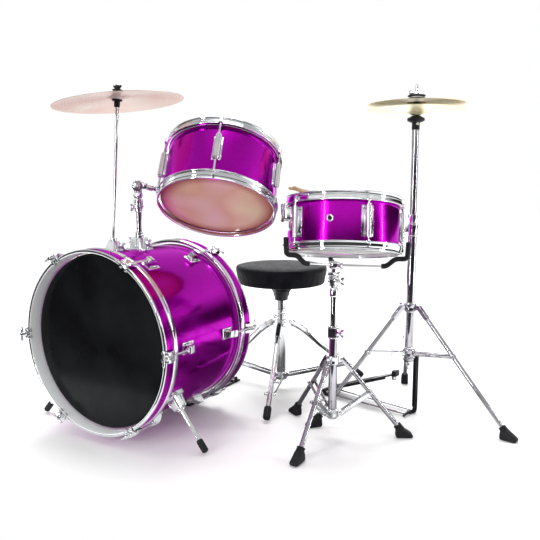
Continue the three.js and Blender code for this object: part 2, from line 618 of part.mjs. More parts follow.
// The tube that the bottom cymbal rests on, the pull rod with its clutch, and both cymbals.
function addHatSpindle(x, y) {
  const u = HAT_UPPER;
  const seatTop = HAT.bottomRim - HAT.bell - GAP;
  const upper = turnedRing([[u.boreR, u.from], [u.radius, u.from], [u.radius, u.to], [9.5, u.to],
    [9.5, u.to + 16], [u.cupR, u.to + 20], [u.cupR, seatTop - 3], [u.boreR + 8, seatTop],
    [u.boreR, seatTop]],
  TUBE_SIDES);
  movingPart('hihat_upper_tube', upper.translate(x, y, 0), chrome, [x, y, u.to]);
  const top = HAT.topRim + HAT.bell;
  const r = PULL_ROD.radius;
  const rodProfile = [[0, PULL_ROD.from], [7, PULL_ROD.from], [7, PULL_ROD.from + 14],
    [r, PULL_ROD.from + 14], [r, top - 9], [9, top - 9], [9, top - 2.4],
    [r + 1, top - 2.4], [r + 1, top + GAP],
    [17, top + GAP], [17, top + 3], [15, top + 3], [15, top + 6.5], [17, top + 6.5], [17, top + 10.5],
    [7, top + 10.5], [7, top + 18], [r, top + 18], [r, PULL_ROD.to], [0, PULL_ROD.to]];
  movingPart('hihat_pull_rod', turned(rodProfile, 12).translate(x, y, 0), chrome, [x, y, top]);
  const bottom = cymbal(HAT).scale(1, 1, -1);
  movingPart('hihat_bottom_cymbal', bottom.translate(x, y, HAT.bottomRim), bronze, [x, y, HAT.bottomRim]);
  movingPart('hihat_top_cymbal', cymbal(HAT).translate(x, y, HAT.topRim), bronze, [x, y, HAT.topRim]);
}

function addFootboard(stand) {
  const { heading, heelR, toeR, heelZ, toeZ, width } = HAT_PEDAL;
  const hinge = [heelR, heelZ];
  const board = strip([toeR, toeZ], [heelR - 2, heelZ + 1], width - 14, 5);
  const knuckle = rod([heelR, -(width / 2 - 5 - GAP), heelZ], [heelR, width / 2 - 5 - GAP, heelZ], 4, 10);
  const link = block(14, 20, 16, toeR - 5, 0, toeZ + 4);
  const mesh = part('hihat_footboard', joined([board, knuckle, link]).translate(-hinge[0], 0, -hinge[1]),
    blackPlastic);
  const turn = radians(heading);
  const [x, y] = stand.centre;
  mesh.position.set(x + heelR * Math.cos(turn), y + heelR * Math.sin(turn), heelZ);
  mesh.rotation.z = turn;
}

// ---- Throne ----------------------------------------------------------------------------------------

function addThrone() {
  const stand = THRONE_TRIPOD;
  const [x, y] = stand.centre;
  const [, ...tongues] = collar(stand, stand.upperZ, stand.upperPivotR, TONGUE);
  const half = COLLAR_HEIGHT / 2;
  const tube = joined([pipe(stand.tubeR, stand.boreR, THRONE_TUBE.from, THRONE_TUBE.to),
    pipe(stand.tubeR + COLLAR_WALL, stand.boreR, stand.upperZ - half, stand.upperZ + half), ...tongues]);
  movingPart('throne_tube', tube.translate(x, y, 0), chrome, [x, y, stand.upperZ]);
  addCollar(stand, 'throne_collar', stand.lowerZ, stand.lowerPivotR, lowerTongue(stand));
  addLegs(stand);
  const seatBottom = SEAT.top - SEAT.thickness;
  const bossBottom = seatBottom - SEAT.bossHeight - GAP;
  const post = turned([[0, SEAT.postFrom], [SEAT.postR, SEAT.postFrom], [SEAT.postR, bossBottom],
    [0, bossBottom]]);
  movingPart('throne_post', post.translate(x, y, 0), chrome, [x, y, bossBottom]);
  const seat = turned([[0, bossBottom + GAP], [SEAT.bossR, bossBottom + GAP], [SEAT.bossTopR, seatBottom],
    [SEAT.bottomR - 6, seatBottom], [SEAT.bottomR, seatBottom + 6], [SEAT.radius, SEAT.top - 14],
    [SEAT.radius - 10, SEAT.top], [0, SEAT.top]], 36);
  movingPart('throne_seat', seat.translate(x, y, 0), vinyl, [x, y, seatBottom]);
}

// ---- Bass pedal ------------------------------------------------------------------------------------

function addBassPedal() {
  const p = PEDAL;
  const front = block(2 * p.postX + 16, 62, 6, 0, p.postY - 20, 3);
  const hoopRest = block(24, 18, 13, 0, BASS.depth - 16, 11);
  const posts = [-1, 1].map((side) => block(10, 12, p.axleZ + 8, side * p.postX, p.postY, (p.axleZ + 8) / 2));
  const rails = [-1, 1].map((side) =>
    block(6, p.heelY - p.postY, 5, side * p.postX, (p.heelY + p.postY) / 2, 2.5));
  const heel = block(2 * p.postX + 6, 26, 6, 0, p.heelY + 6, 3);
  const ears = [-1, 1].map((side) => block(5, 14, p.heelZ + 4, side * p.postX, p.heelY, (p.heelZ + 4) / 2));
  part('pedal_frame', joined([front, hoopRest, ...posts, ...rails, heel, ...ears]), blackPlastic);
  const slope = Math.atan2(p.toeZ - p.heelZ, p.heelY - p.toeY);
  const length = Math.hypot(p.toeZ - p.heelZ, p.heelY - p.toeY) - 6;
  const board = block(54, length, 5, 0, -length / 2 - 1, 0).rotateX(-slope)
    .translate(0, p.heelY, p.heelZ + 1);
  const half = p.postX - 2.5 - GAP;
  const knuckle = rod([-half, p.heelY, p.heelZ], [half, p.heelY, p.heelZ], 4, 10);
  movingPart('pedal_footboard', joined([board, knuckle]), chrome, [0, p.heelY, p.heelZ]);
  addBeater();
}

function addBeater() {
  const p = PEDAL;
  const lean = radians(p.beaterLean);
  const axle = [0, p.postY, p.axleZ];
  const half = p.postX - 5 - GAP;
  const along = (d) => [0, p.postY + d * Math.sin(lean), p.axleZ + d * Math.cos(lean)];
  const ball = rod(along(p.beaterLength - 16), along(p.beaterLength + 16), p.beaterR, 12);
  const pieces = [rod([-half, ...axle.slice(1)], [half, ...axle.slice(1)], 5, 10),
    rod(along(0), along(p.beaterLength), 3, 8), ball];
  movingPart('pedal_beater', joined(pieces), chrome, axle);
}

addBassDrum();
addTom();
addCrash();
const snareGroup = addSnareDrum();
addSnareStand(snareGroup);
addHiHat();
addThrone();
addBassPedal();

export default kit;
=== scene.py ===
import math

import bmesh
import bpy
import numpy as np
from mathutils import Matrix, Vector, noise


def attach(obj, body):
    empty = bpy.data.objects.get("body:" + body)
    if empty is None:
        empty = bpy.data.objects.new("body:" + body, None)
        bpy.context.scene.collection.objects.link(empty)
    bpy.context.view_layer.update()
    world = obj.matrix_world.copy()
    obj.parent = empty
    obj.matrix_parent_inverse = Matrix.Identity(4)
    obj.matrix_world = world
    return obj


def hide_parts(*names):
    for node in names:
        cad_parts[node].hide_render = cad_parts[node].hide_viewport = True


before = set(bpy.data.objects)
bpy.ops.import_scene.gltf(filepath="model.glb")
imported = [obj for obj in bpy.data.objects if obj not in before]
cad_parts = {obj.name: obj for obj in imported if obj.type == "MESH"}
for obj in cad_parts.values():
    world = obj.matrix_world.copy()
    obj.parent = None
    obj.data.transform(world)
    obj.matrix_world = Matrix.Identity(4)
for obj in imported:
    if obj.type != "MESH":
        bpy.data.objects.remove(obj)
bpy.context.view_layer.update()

# A junior acoustic drum kit. Shapes are drawn in millimetres in the CAD part's layout frame, whose origin is
# on the floor under the front of the bass drum, with +Y from its front to its rear and +Z up.
# build() turns them into metres in the row frame.

MM = 0.001
# Scale of a wave texture that puts one ring in each unit of length.
RING_SCALE = 0.314
Y_AXIS = (0, 1, 0)
WHITE = (1.0, 1.0, 1.0)
LAYOUT_SHIFT = Vector((-291, -397.4, 0))

# ---- Dimensions, in millimetres, as in the CAD part --------------------------------------------------

BASS = dict(lugs=6, shell=203.2, wall=6.5, depth=334.6, axis=234.2, inset=27, hoop=216, rods=221,
    lug_from=72)
TOM = dict(body="tom", shell=127, wall=6, depth=156.5, hoop_height=20.5, inset=10, lugs=5, first_lug=45.7,
    lug=(60, 16, 20), centre=(229.7, 170.2, 536.9), tilt=31.6, heading=110.3)
SNARE = dict(body="snare_drum", shell=127, wall=6, depth=126.5, hoop_height=20.5, inset=10, lugs=5,
    first_lug=60.5, lug=(68, 14, 27), centre=(472.9, 320.5, 435.2), tilt=10.5, heading=112.4)
ROD_CIRCLE = 136.5
TOM_MOUNT = (69.7, 78)
TOM_POST = (0, 169)
TOM_ELBOW = 590
STRAINER_ANGLE, VENT_ANGLE = 114, 169
CRASH = dict(radius=152, bell_radius=28, bow=14, bell=24, thickness=1.2, centre=(-16.5, 128.5, 783.2),
    tilt=5.7, heading=200)
CRASH_FOOT = Vector((-34, 111, 400))
HAT = dict(radius=118, bell_radius=24, bow=5.5, bell=12, thickness=1.2)
HAT_RIMS = (773.8, 788)
SPUR = dict(foot=Vector((259.2, 78.3, 5.3)), entry=Vector((165, 86, 113)))
SNARE_STAND = dict(name="snare_stand", centre=(457.5, 311.5), headings=(29, 149, 269), foot=(166.4, 14),
    upper=(24, 188), lower=(21, 60), tube=10, brace_at=0.45, leg=5.5, rivet=4)
HAT_STAND = dict(name="hihat", centre=(564.5, 545.9), headings=(-10.4, 109.6, 229.6), foot=(260.5, 14),
    upper=(26, 284), lower=(22, 165), tube=11, brace_at=0.4, leg=5.5, rivet=4)
THRONE = dict(name="throne", centre=(181, 557), headings=(-68.6, 51.4, 171.4), foot=(270, 9.6),
    upper=(30, 199), lower=(24, 42), tube=13, brace_at=0.76, leg=7, rivet=5)
SNARE_PIVOT = 375
BASKET = dict(hub=-24, offset=-17.6, reach=146, hook_top=30, hooks=(22, 125, 238))
HAT_PEDAL = dict(heading=168, heel=(248, 16), toe=(42, 98), width=66)
SEAT = dict(radius=130, low_radius=124, top=369, bottom=314, boss=49)
PEDAL = dict(post=(34, 352), axle=188, heel=(540, 14), toe=(366, 82), beater=105, lean=35)

# ---- Looks -------------------------------------------------------------------------------------------


def set_stops(node, stops):
    """Sets a colour ramp node to [position, colour or grey] stops."""
    elements = node.color_ramp.elements
    while len(elements) < len(stops):
        elements.new(0.5)
    for element, (position, tone) in zip(elements, stops):
        element.position = position
        element.color = (tone, tone, tone, 1) if isinstance(tone, (int, float)) else (*tone, 1)


class Look:
    """A material under construction: its node tree, its shader and object coordinates in metres."""

    def __init__(self, name, metallic=0.0, roughness=0.5, **sockets):
        self.material = bpy.data.materials.new(name)
        self.material.use_nodes = True
        self.tree = self.material.node_tree
        self.shader = self.tree.nodes["Principled BSDF"]
        self.shader.inputs["Metallic"].default_value = metallic
        self.shader.inputs["Roughness"].default_value = roughness
        for socket, value in sockets.items():
            self.shader.inputs[socket.replace("_", " ")].default_value = value
        self.place = self.node("ShaderNodeTexCoord").outputs["Object"]

    def node(self, kind, **settings):
        made = self.tree.nodes.new(kind)
        for key, value in settings.items():
            setattr(made, key, value)
        return made

    def link(self, source, target):
        self.tree.links.new(source, target)

    def scaled(self, x, y, z, centre=(0.0, 0.0)):
        mapping = self.node("ShaderNodeMapping")
        mapping.inputs["Scale"].default_value = (x, y, z)
        mapping.inputs["Location"].default_value = (-centre[0] * x, -centre[1] * y, 0)
        self.link(self.place, mapping.inputs["Vector"])
        return mapping.outputs["Vector"]

    def noise(self, size, detail=3, place=None):
        """Noise whose features are about size millimetres wide."""
        made = self.node("ShaderNodeTexNoise")
        made.inputs["Scale"].default_value = 1 / (size * MM)
        made.inputs["Detail"].default_value = detail
        self.link(place or self.place, made.inputs["Vector"])
        return made.outputs["Fac"]

    def cells(self, size, feature="F1", output="Distance"):
        made = self.node("ShaderNodeTexVoronoi", feature=feature)
        made.inputs["Scale"].default_value = 1 / (size * MM)
        self.link(self.place, made.inputs["Vector"])
        return made.outputs[output]

    def rings(self, pitch, axis="Z", distortion=0.0):
        """Grooves around an axis, one every pitch millimetres."""
        made = self.node("ShaderNodeTexWave", wave_type="RINGS", rings_direction=axis)
        made.inputs["Scale"].default_value = RING_SCALE / (pitch * MM)
        made.inputs["Distortion"].default_value = distortion
        self.link(self.place, made.inputs["Vector"])
        return made.outputs["Fac"]

    def ramp(self, source, *stops):
        made = self.node("ShaderNodeValToRGB")
        set_stops(made, stops)
        self.link(source, made.inputs["Fac"])
        return made.outputs["Color"]

    def mixed(self, share, first, second, blend="MIX"):
        made = self.node("ShaderNodeMix", data_type="RGBA", blend_type=blend)
        for value, socket in ((share, 0), (first, 6), (second, 7)):
            if isinstance(value, bpy.types.NodeSocket):
                self.link(value, made.inputs[socket])
            elif socket == 0:
                made.inputs[socket].default_value = value
            else:
                made.inputs[socket].default_value = (*value, 1)
        return made.outputs[2]

    def colour(self, source):
        self.link(source, self.shader.inputs["Base Color"])

    def rough(self, source):
        self.link(source, self.shader.inputs["Roughness"])

    def bumped(self, height, distance, strength=0.5):
        """Raises the surface by the height source, up to distance millimetres."""
        made = self.node("ShaderNodeBump")
        made.inputs["Strength"].default_value = strength
        made.inputs["Distance"].default_value = distance * MM
        self.link(height, made.inputs["Height"])
        self.link(made.outputs["Normal"], self.shader.inputs["Normal"])


def wrap_look():
    look = Look("magenta_wrap", metallic=0.97, Coat_Weight=0.15, Coat_Roughness=0.02,
        Specular_Tint=(1.0, 0.15, 1.0, 1.0))
    flakes = look.ramp(look.cells(0.45, output="Color"), (0.1, (0.40, 0.0, 0.39)),
        (0.9, (0.58, 0.0, 0.56)))
    drift = look.ramp(look.noise(70), (0.3, (0.46, 0.0, 0.46)), (0.7, (0.54, 0.0, 0.51)))
    look.colour(look.mixed(0.5, flakes, drift))
    look.rough(look.ramp(look.noise(25), (0.3, 0.15), (0.7, 0.20)))
    look.bumped(look.noise(9, 2), 0.02, 0.12)
    return look.material


def plain_look(name, grain, colours, roughs, relief=None, **sockets):
    """A material whose colour and roughness follow one noise, given as grain (size, detail).

    relief lists the size and the detail of a second noise, and the distance and the strength of its bumps.
    """
    look = Look(name, **sockets)
    tone = look.noise(*grain)
    look.colour(look.ramp(tone, *colours))
    look.rough(look.ramp(tone, *roughs))
    if relief:
        look.bumped(look.noise(*relief[:2]), *relief[2:])
    return look.material


def black_head_look():
    look = Look("black_film", Specular_IOR_Level=0.12)
    cloud = look.noise(120, 3)
    look.colour(look.ramp(cloud, (0.35, (0.004, 0.004, 0.005)), (0.7, (0.010, 0.011, 0.012))))
    look.rough(look.ramp(look.noise(40), (0.3, 0.14), (0.7, 0.22)))
    look.bumped(look.noise(160, 1), 0.6, 0.08)
    return look.material


def film_look(name, light, deep, warm, rim):
    """A coated drum head with painted shade and a painted reflection of the drum's inside, strongest at the
    rim.
    """
    look = Look(name, roughness=0.34, Coat_Weight=0.15, Coat_Roughness=0.2)
    rim_shade_gradient = look.node("ShaderNodeTexGradient", gradient_type="SPHERICAL")
    look.link(look.scaled(7.6, 7.6, 0.01), rim_shade_gradient.inputs["Vector"])
    tone = look.ramp(look.noise(150, 1), (0.3, light), (0.5, deep), (0.7, warm))
    # painted shade and painted reflection of the drum's inside: the head turns to the rim colour towards its
    # edge
    edge = look.ramp(rim_shade_gradient.outputs["Fac"], (0.04, 1.0), (0.28, 0.0))
    look.colour(look.mixed(edge, tone, rim))
    look.bumped(look.noise(0.9, 3), 0.02, 0.25)
    return look.material


def bronze_look(name, groove, land, blush_and_reflection_tint):
    look = Look(name, metallic=0.45, Anisotropic=0.85)
    bands = look.rings(7.5, distortion=0.4)
    tone = look.ramp(bands, (0.0, groove), (1.0, land))
    stain = look.ramp(look.noise(45), (0.35, blush_and_reflection_tint), (0.7, (1.0, 0.99, 0.97)))
    # painted reflection: tinted sectors around the axis stand in for the bow-tie highlights of the lathed
    # grooves
    painted_reflection_bearing = look.node("ShaderNodeTexGradient", gradient_type="RADIAL")
    look.link(look.place, painted_reflection_bearing.inputs["Vector"])
    painted_reflection_sectors = look.ramp(painted_reflection_bearing.outputs["Fac"], (0.0, WHITE), (0.1, blush_and_reflection_tint), (0.22, WHITE), (0.38, blush_and_reflection_tint),
        (0.5, WHITE), (0.62, blush_and_reflection_tint), (0.78, WHITE), (0.9, blush_and_reflection_tint), (1.0, WHITE))
    lathed = look.mixed(1.0, tone, stain, "MULTIPLY")
    look.colour(look.mixed(1.0, lathed, painted_reflection_sectors, "MULTIPLY"))
    look.rough(look.ramp(look.rings(1.9), (0.0, 0.26), (1.0, 0.36)))
    look.bumped(look.rings(1.3), 0.12, 0.35)
    tangent = look.node("ShaderNodeTangent", direction_type="RADIAL", axis="Z")
    look.link(tangent.outputs["Tangent"], look.shader.inputs["Tangent"])
    return look.material


def vinyl_look():
    look = Look("black_vinyl", Specular_IOR_Level=0.10)
    grain = look.cells(1.5, "DISTANCE_TO_EDGE")
    look.colour(look.ramp(look.noise(38, 4), (0.3, (0.002, 0.002, 0.004)), (0.75, (0.007, 0.008, 0.012))))
    look.rough(look.ramp(look.noise(12, 4), (0.3, 0.40), (0.7, 0.54)))
    look.bumped(look.ramp(grain, (0.0, 0.0), (0.25, 1.0)), 0.16, 0.5)
    return look.material


def felt_look():
    look = Look("white_felt", roughness=0.95, Sheen_Weight=0.5)
    fibres = look.noise(0.7, 6)
    look.colour(look.ramp(fibres, (0.3, (0.62, 0.61, 0.60)), (0.7, (0.86, 0.85, 0.84))))
    look.bumped(fibres, 0.4, 0.8)
    return look.material


def wood_look():
    look = Look("lacquered_wood", roughness=0.35, Coat_Weight=0.4, Coat_Roughness=0.12)
    grain = look.noise(5, 5, look.scaled(1, 1, 0.06))
    look.colour(look.ramp(grain, (0.3, (0.36, 0.19, 0.10)), (0.7, (0.66, 0.42, 0.24))))
    look.bumped(grain, 0.08, 0.3)
    return look.material


LOOKS = {
    "wrap": (wrap_look(), "wrap"),
    "chrome": (plain_look("chrome_plate", (22, 4), ((0.3, (0.80, 0.82, 0.85)), (0.7, (0.92, 0.93, 0.94))),
                          ((0.3, 0.035), (0.75, 0.10)), (14, 2, 0.05, 0.12), metallic=1.0), "chrome"),
    # painted shade: a darker copy of the chrome plate, for the stand tubes and collars that show dark
    # reflections
    "tube": (plain_look("shaded_chrome_tube", (30, 4), ((0.3, (0.42, 0.41, 0.45)), (0.7, (0.56, 0.55, 0.59))),
                        ((0.3, 0.04), (0.75, 0.12)), (20, 2, 0.04, 0.1), metallic=1.0), "chrome"),
    "satin": (plain_look("hoop_lining", (3, 4), ((0.2, (0.88, 0.90, 0.92)), (0.8, (0.96, 0.97, 0.98))),
                         ((0.2, 0.28), (0.8, 0.40))), "chrome"),
    "black_head": (black_head_look(), "black_head"),
    # the last colour of each film is its painted rim shade and reflection of the drum's inside
    "tinted_film": (film_look("tinted_film", (0.82, 0.54, 0.54), (0.72, 0.40, 0.28), (0.80, 0.60, 0.40),
                              (0.40, 0.06, 0.05)), "clear_head"),
    "white_film": (film_look("white_film", (0.84, 0.82, 0.78), (0.78, 0.76, 0.73), (0.82, 0.80, 0.73),
                             (0.60, 0.56, 0.55)), "clear_head"),
    # the last colour of each bronze tints its random stains and its painted reflection sectors
    "pale_bronze": (bronze_look("crash_bronze", (0.64, 0.54, 0.48), (0.80, 0.72, 0.65),
                                (0.96, 0.82, 0.79)), "bronze"),
    "gold_bronze": (bronze_look("hat_bronze", (0.82, 0.76, 0.53), (0.90, 0.87, 0.72),
                                (0.98, 0.93, 0.76)), "bronze"),
    "vinyl": (vinyl_look(), "vinyl"),
    "black_metal": (plain_look("black_enamel", (16, 5),
                               ((0.3, (0.003, 0.003, 0.005)), (0.8, (0.012, 0.012, 0.016))),
                               ((0.3, 0.26), (0.8, 0.42)), (1.6, 2, 0.03, 0.3), Coat_Weight=0.3,
                               Coat_Roughness=0.1, Specular_IOR_Level=0.25), "black_metal"),
    "rubber": (plain_look("black_rubber", (6, 5),
                          ((0.3, (0.004, 0.004, 0.005)), (0.8, (0.016, 0.016, 0.019))),
                          ((0.3, 0.48), (0.8, 0.66)), (0.8, 2, 0.05, 0.4),
                          Specular_IOR_Level=0.25), "rubber"),
    "felt": (felt_look(), "felt"),
    "wood": (wood_look(), "wood"),
    "wire": (plain_look("bright_wire", (0.9, 2), ((0.3, (0.60, 0.60, 0.63)), (0.7, (0.86, 0.86, 0.88))),
                        ((0.3, 0.18), (0.7, 0.34)), metallic=1.0), "steel_wire"),
}

# ---- Shapes ------------------------------------------------------------------------------------------


class Shape:
    """Points in millimetres and faces that list them by number."""

    def __init__(self, points, faces):
        self.points = np.array([tuple(p) for p in points], float).reshape(-1, 3)
        self.faces = [tuple(face) for face in faces]

    def moved(self, matrix):
        m = np.array(matrix)
        return Shape(self.points @ m[:3, :3].T + m[:3, 3], self.faces)


def shift(x=0.0, y=0.0, z=0.0):
    return Matrix.Translation((x, y, z))


def spin(degrees, axis="Z"):
    return Matrix.Rotation(math.radians(degrees), 4, axis)


def aimed(origin, direction):
    """A frame at origin with its Z along direction."""
    turn = Vector((0, 0, 1)).rotation_difference(Vector(direction)).to_matrix().to_4x4()
    return Matrix.Translation(Vector(origin)) @ turn


def moved(shapes, matrix):
    return [shape.moved(matrix) for shape in shapes]


def outward(turn, distance, height):
    """A frame at that distance from the Z axis whose own Z points away from it."""
    return spin(turn) @ shift(distance, 0, height) @ spin(90, "Y")


def flipped(height=0.0):
    """Turns Z over, so that height 0 comes to the given height."""
    return shift(0, 0, height) @ Matrix.Diagonal((1, 1, -1, 1))


def from_start(x0, y0, *points):
    """Outline points that are measured from x0 and y0."""
    return [(x0 + x, y0 + y) for x, y in points]


def around(count, first, shapes):
    return [s for k in range(count) for s in moved(shapes, spin(first + 360 * k / count))]


def soft(path, radius, steps=3, closed=False):
    """Rounds the corners of a path of 2-D or 3-D points."""
    points = [Vector(p) for p in path]
    count = len(points)
    rounded = []
    for k, corner in enumerate(points):
        if not closed and k in (0, count - 1):
            rounded.append(corner)
            continue
        back, ahead = points[k - 1] - corner, points[(k + 1) % count] - corner
        if back.length < 1e-6 or ahead.length < 1e-6 or back.angle(ahead) > math.radians(172):
            rounded.append(corner)
            continue
        start = corner + back.normalized() * min(radius, back.length * 0.45)
        end = corner + ahead.normalized() * min(radius, ahead.length * 0.45)
        for i in range(steps + 1):
            t = i / steps
            rounded.append(start * (1 - t) ** 2 + corner * 2 * t * (1 - t) + end * t * t)
    return rounded


def joined_rings(rings, closed=False):
    """Faces between neighbouring rings of point numbers."""
    pairs = list(zip(rings, rings[1:]))
    if closed:
        pairs.append((rings[-1], rings[0]))
    faces = []
    for low, high in pairs:
        size = len(low)
        for k in range(size):
            j = (k + 1) % size
            face = list(dict.fromkeys((low[k], low[j], high[j], high[k])))
            if len(face) > 2:
                faces.append(face)
    return faces


def lathe(profile, sides=48, closed=False):
    """A surface turned about Z through [radius, height] points; a closed profile makes a ring."""
    points, rings = [], []
    for radius, height in profile:
        if radius < 1e-6:
            rings.append([len(points)] * sides)
            points.append((0, 0, height))
            continue
        rings.append(range(len(points), len(points) + sides))
        for k in range(sides):
            angle = math.tau * k / sides
            points.append((radius * math.cos(angle), radius * math.sin(angle), height))
    return Shape(points, joined_rings(rings, closed))


def ring(profile, softness=0.6, sides=48):
    return lathe(soft(profile, softness, closed=True), sides, closed=True)


def drum(profile, softness=0.6, sides=24):
    """A turned solid; a profile that stops short of the axis is closed with flat ends."""
    (first, low), (last, high) = profile[0], profile[-1]
    start, end = [(0, low)] * bool(first), [(0, high)] * bool(last)
    return lathe(soft([*start, *profile, *end], softness), sides)


def pin(radius, low, high, softness=0.5, sides=16):
    return drum([(radius, low), (radius, high)], softness, sides)


def sweep(path, section, side=None, sizes=None):
    """A solid along a path of points; side fixes the direction of the section's first axis."""
    path = [Vector(p) for p in path]
    tangents = []
    for k in range(len(path)):
        ahead = path[min(k + 1, len(path) - 1)] - path[max(k - 1, 0)]
        tangents.append(ahead.normalized())
    across = Vector(side) if side else tangents[0].orthogonal()
    points, rings = [], []
    for k, (centre, tangent) in enumerate(zip(path, tangents)):
        if k and not side:
            across = tangents[k - 1].rotation_difference(tangent) @ across
        across_k = (across - tangent * across.dot(tangent)).normalized()
        up = tangent.cross(across_k)
        size = sizes[k] if sizes else 1
        rings.append(range(len(points), len(points) + len(section)))
        points += [centre + (across_k * x + up * y) * size for x, y in section]
    faces = joined_rings(rings)
    faces += [tuple(rings[0]), tuple(rings[-1])]
    return Shape(points, faces)


def circle(radius, sides):
    return [(radius * math.cos(math.tau * k / sides), radius * math.sin(math.tau * k / sides))
        for k in range(sides)]


def bar(path, radius, sides=14, bend=0.0):
    """A round bar with chamfered ends; radius is one number, or one for each point of a straight-cut path."""
    points = soft(path, bend, 5) if bend else [Vector(p) for p in path]
    radii = list(radius) if isinstance(radius, (list, tuple)) else [radius] * len(points)
    chamfer = 0.25
    first = points[0] + (points[1] - points[0]).normalized() * radii[0] * chamfer
    last = points[-1] + (points[-2] - points[-1]).normalized() * radii[-1] * chamfer
    points = [points[0], first, *points[1:-1], last, points[-1]]
    radii = [radii[0] * (1 - chamfer), radii[0], *radii[1:-1], radii[-1], radii[-1] * (1 - chamfer)]
    return sweep(points, circle(1, sides), sizes=radii)


def rounded_box(x, y, corner, steps=3):
    corners = [(-x / 2, -y / 2), (x / 2, -y / 2), (x / 2, y / 2), (-x / 2, y / 2)]
    return [tuple(p) for p in soft(corners, corner, steps, closed=True)]


def pillar(levels):
    """A casting whose cross-section is a rounded box; levels list (height, size x, size y, corner)."""
    points, rings = [], []
    for height, x, y, corner in levels:
        outline = rounded_box(x, y, corner)
        rings.append(range(len(points), len(points) + len(outline)))
        points += [(px, py, height) for px, py in outline]
    return Shape(points, joined_rings(rings) + [tuple(rings[0]), tuple(rings[-1])])


def block(x, y, z, centre=(0, 0, 0), edge=0.8):
    """A box with rounded edges."""
    edge = min(edge, x * 0.3, y * 0.3, z * 0.3)
    low, high = -z / 2, z / 2
    levels = [(low, x - 2 * edge, y - 2 * edge, edge), (low + edge * 0.3, x - 0.6 * edge, y - 0.6 * edge,
        edge), (low + edge, x, y, edge), (high - edge, x, y, edge), (high - edge * 0.3, x - 0.6 * edge,
        y - 0.6 * edge, edge), (high, x - 2 * edge, y - 2 * edge, edge)]
    return pillar(levels).moved(shift(*centre))


def plate(outline, thickness, edge=0.6, corner=0.0):
    """A flat piece cut to an outline in X and Y, centred on Z = 0, with chamfered edges."""
    points2 = [Vector(p) for p in (soft(outline, corner, 3, closed=True) if corner else outline)]
    area = sum(a.x * b.y - a.y * b.x for a, b in zip(points2, points2[1:] + points2[:1]))
    inward = 1 if area > 0 else -1
    count = len(points2)

    def inset(distance):
        made = []
        for k in range(count):
            back = (points2[k] - points2[k - 1]).normalized()
            ahead = (points2[(k + 1) % count] - points2[k]).normalized()
            normal = Vector((-(back + ahead).y, (back + ahead).x))
            normal = normal.normalized() * inward
            cosine = max(0.5, abs(normal.dot(Vector((-ahead.y, ahead.x)))))
            made.append(points2[k] + normal * distance / cosine)
        return made
    half = thickness / 2
    levels = [(-half, edge), (edge - half, 0), (half - edge, 0), (half, edge)]
    points, rings = [], []
    for height, distance in levels:
        rings.append(range(len(points), len(points) + count))
        points += [(p.x, p.y, height) for p in inset(distance)]
    return Shape(points, joined_rings(rings) + [tuple(rings[0]), tuple(rings[-1])])


def upright(outline, thickness, edge=0.6, corner=0.0, y=0.0):
    """A plate whose outline lies in X and Z, with its thickness along Y."""
    return plate(outline, thickness, edge, corner).moved(shift(0, y, 0) @ spin(90, "X"))


def wing_screw(reach, span=11, shaft=2.4):
    """A wing screw along +Z: a shaft of that reach, a hub and two wings."""
    wing = [(2, -3), (span * 0.7, -1), (span, 3), (span * 0.92, 8), (span * 0.6, 8.5), (3, 3.5)]
    wings = [upright([(side * x, reach + 4 + z) for x, z in wing], 2.6, 0.8, 1.2) for side in (-1, 1)]
    return [pin(shaft, 0, reach + 4), drum([(4.4, reach), (4, reach + 8), (0, reach + 9)]), *wings]


def hex_bolt(radius=4, height=4):
    return [pin(radius * 1.3, -1, 0.6, 0.3, 24), pin(radius, 0, height, 0.6, 6)]


def in_scene(name, data):
    made = bpy.data.objects.new(name, data)
    bpy.context.scene.collection.objects.link(made)
    return made


def build(name, body, look, shapes, place=shift(), replaces=(), sharp=38):
    """One piece from shapes drawn in a local frame, which place sets into the layout frame."""
    mesh_data = bmesh.new()
    for shape in shapes:
        corners = [mesh_data.verts.new(Vector(p) * MM) for p in shape.points]
        for face in shape.faces:
            mesh_data.faces.new([corners[k] for k in face])
    bmesh.ops.recalc_face_normals(mesh_data, faces=mesh_data.faces)
    mesh = bpy.data.meshes.new(name)
    mesh_data.to_mesh(mesh)
    mesh_data.free()
    mesh.shade_smooth()
    mesh.set_sharp_from_angle(angle=math.radians(sharp))
    material, slot = LOOKS[look]
    mesh.materials.append(material)
    piece = in_scene(name, mesh)
    metres = Matrix.Translation((place.to_translation() + LAYOUT_SHIFT) * MM)
    piece.matrix_world = metres @ place.to_3x3().to_4x4()
    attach(piece, body)
    if replaces:
        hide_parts(*replaces)
    return piece


def leaning(drum_like):
    """The frame of a drum or cymbal that leans by its tilt towards its heading."""
    return shift(*drum_like["centre"]) @ spin(drum_like["heading"]) @ spin(drum_like["tilt"], "Y")


# ---- Bass drum ---------------------------------------------------------------------------------------

BASS_FRAME = shift(0, 0, BASS["axis"]) @ spin(-90, "X")


def rear_of_bass(shapes):
    return moved(shapes, flipped(BASS["depth"]))


def bass_hoop_rings():
    """The chrome body of a hoop with its front bead and its crowned rear band, the inlay and the lining."""
    r = BASS["hoop"]
    body = ring(from_start(r, 0, (-6.6, 1.5), (-5, 0), (-1, 0), (0.7, 1.6), (0.7, 4), (-0.6, 5.4),
        (-1.5, 5.6), (-1.5, 26.8), (-0.4, 27.2), (1.2, 30), (1.7, 34.5), (1.2, 39), (-0.6, 42),
        (-6.6, 42)), 0.9, 144)
    inlay = ring([(r - 1.7, 5.5), (r + 0.1, 5.5), (r + 0.1, 26.9), (r - 1.7, 26.9)], 0.3, 144)
    lining = ring([(r - 7.2, 0.9), (r - 5.9, 0.6), (r - 5.9, 41.4), (r - 7.2, 41.4)], 0.4, 144)
    return body, inlay, lining


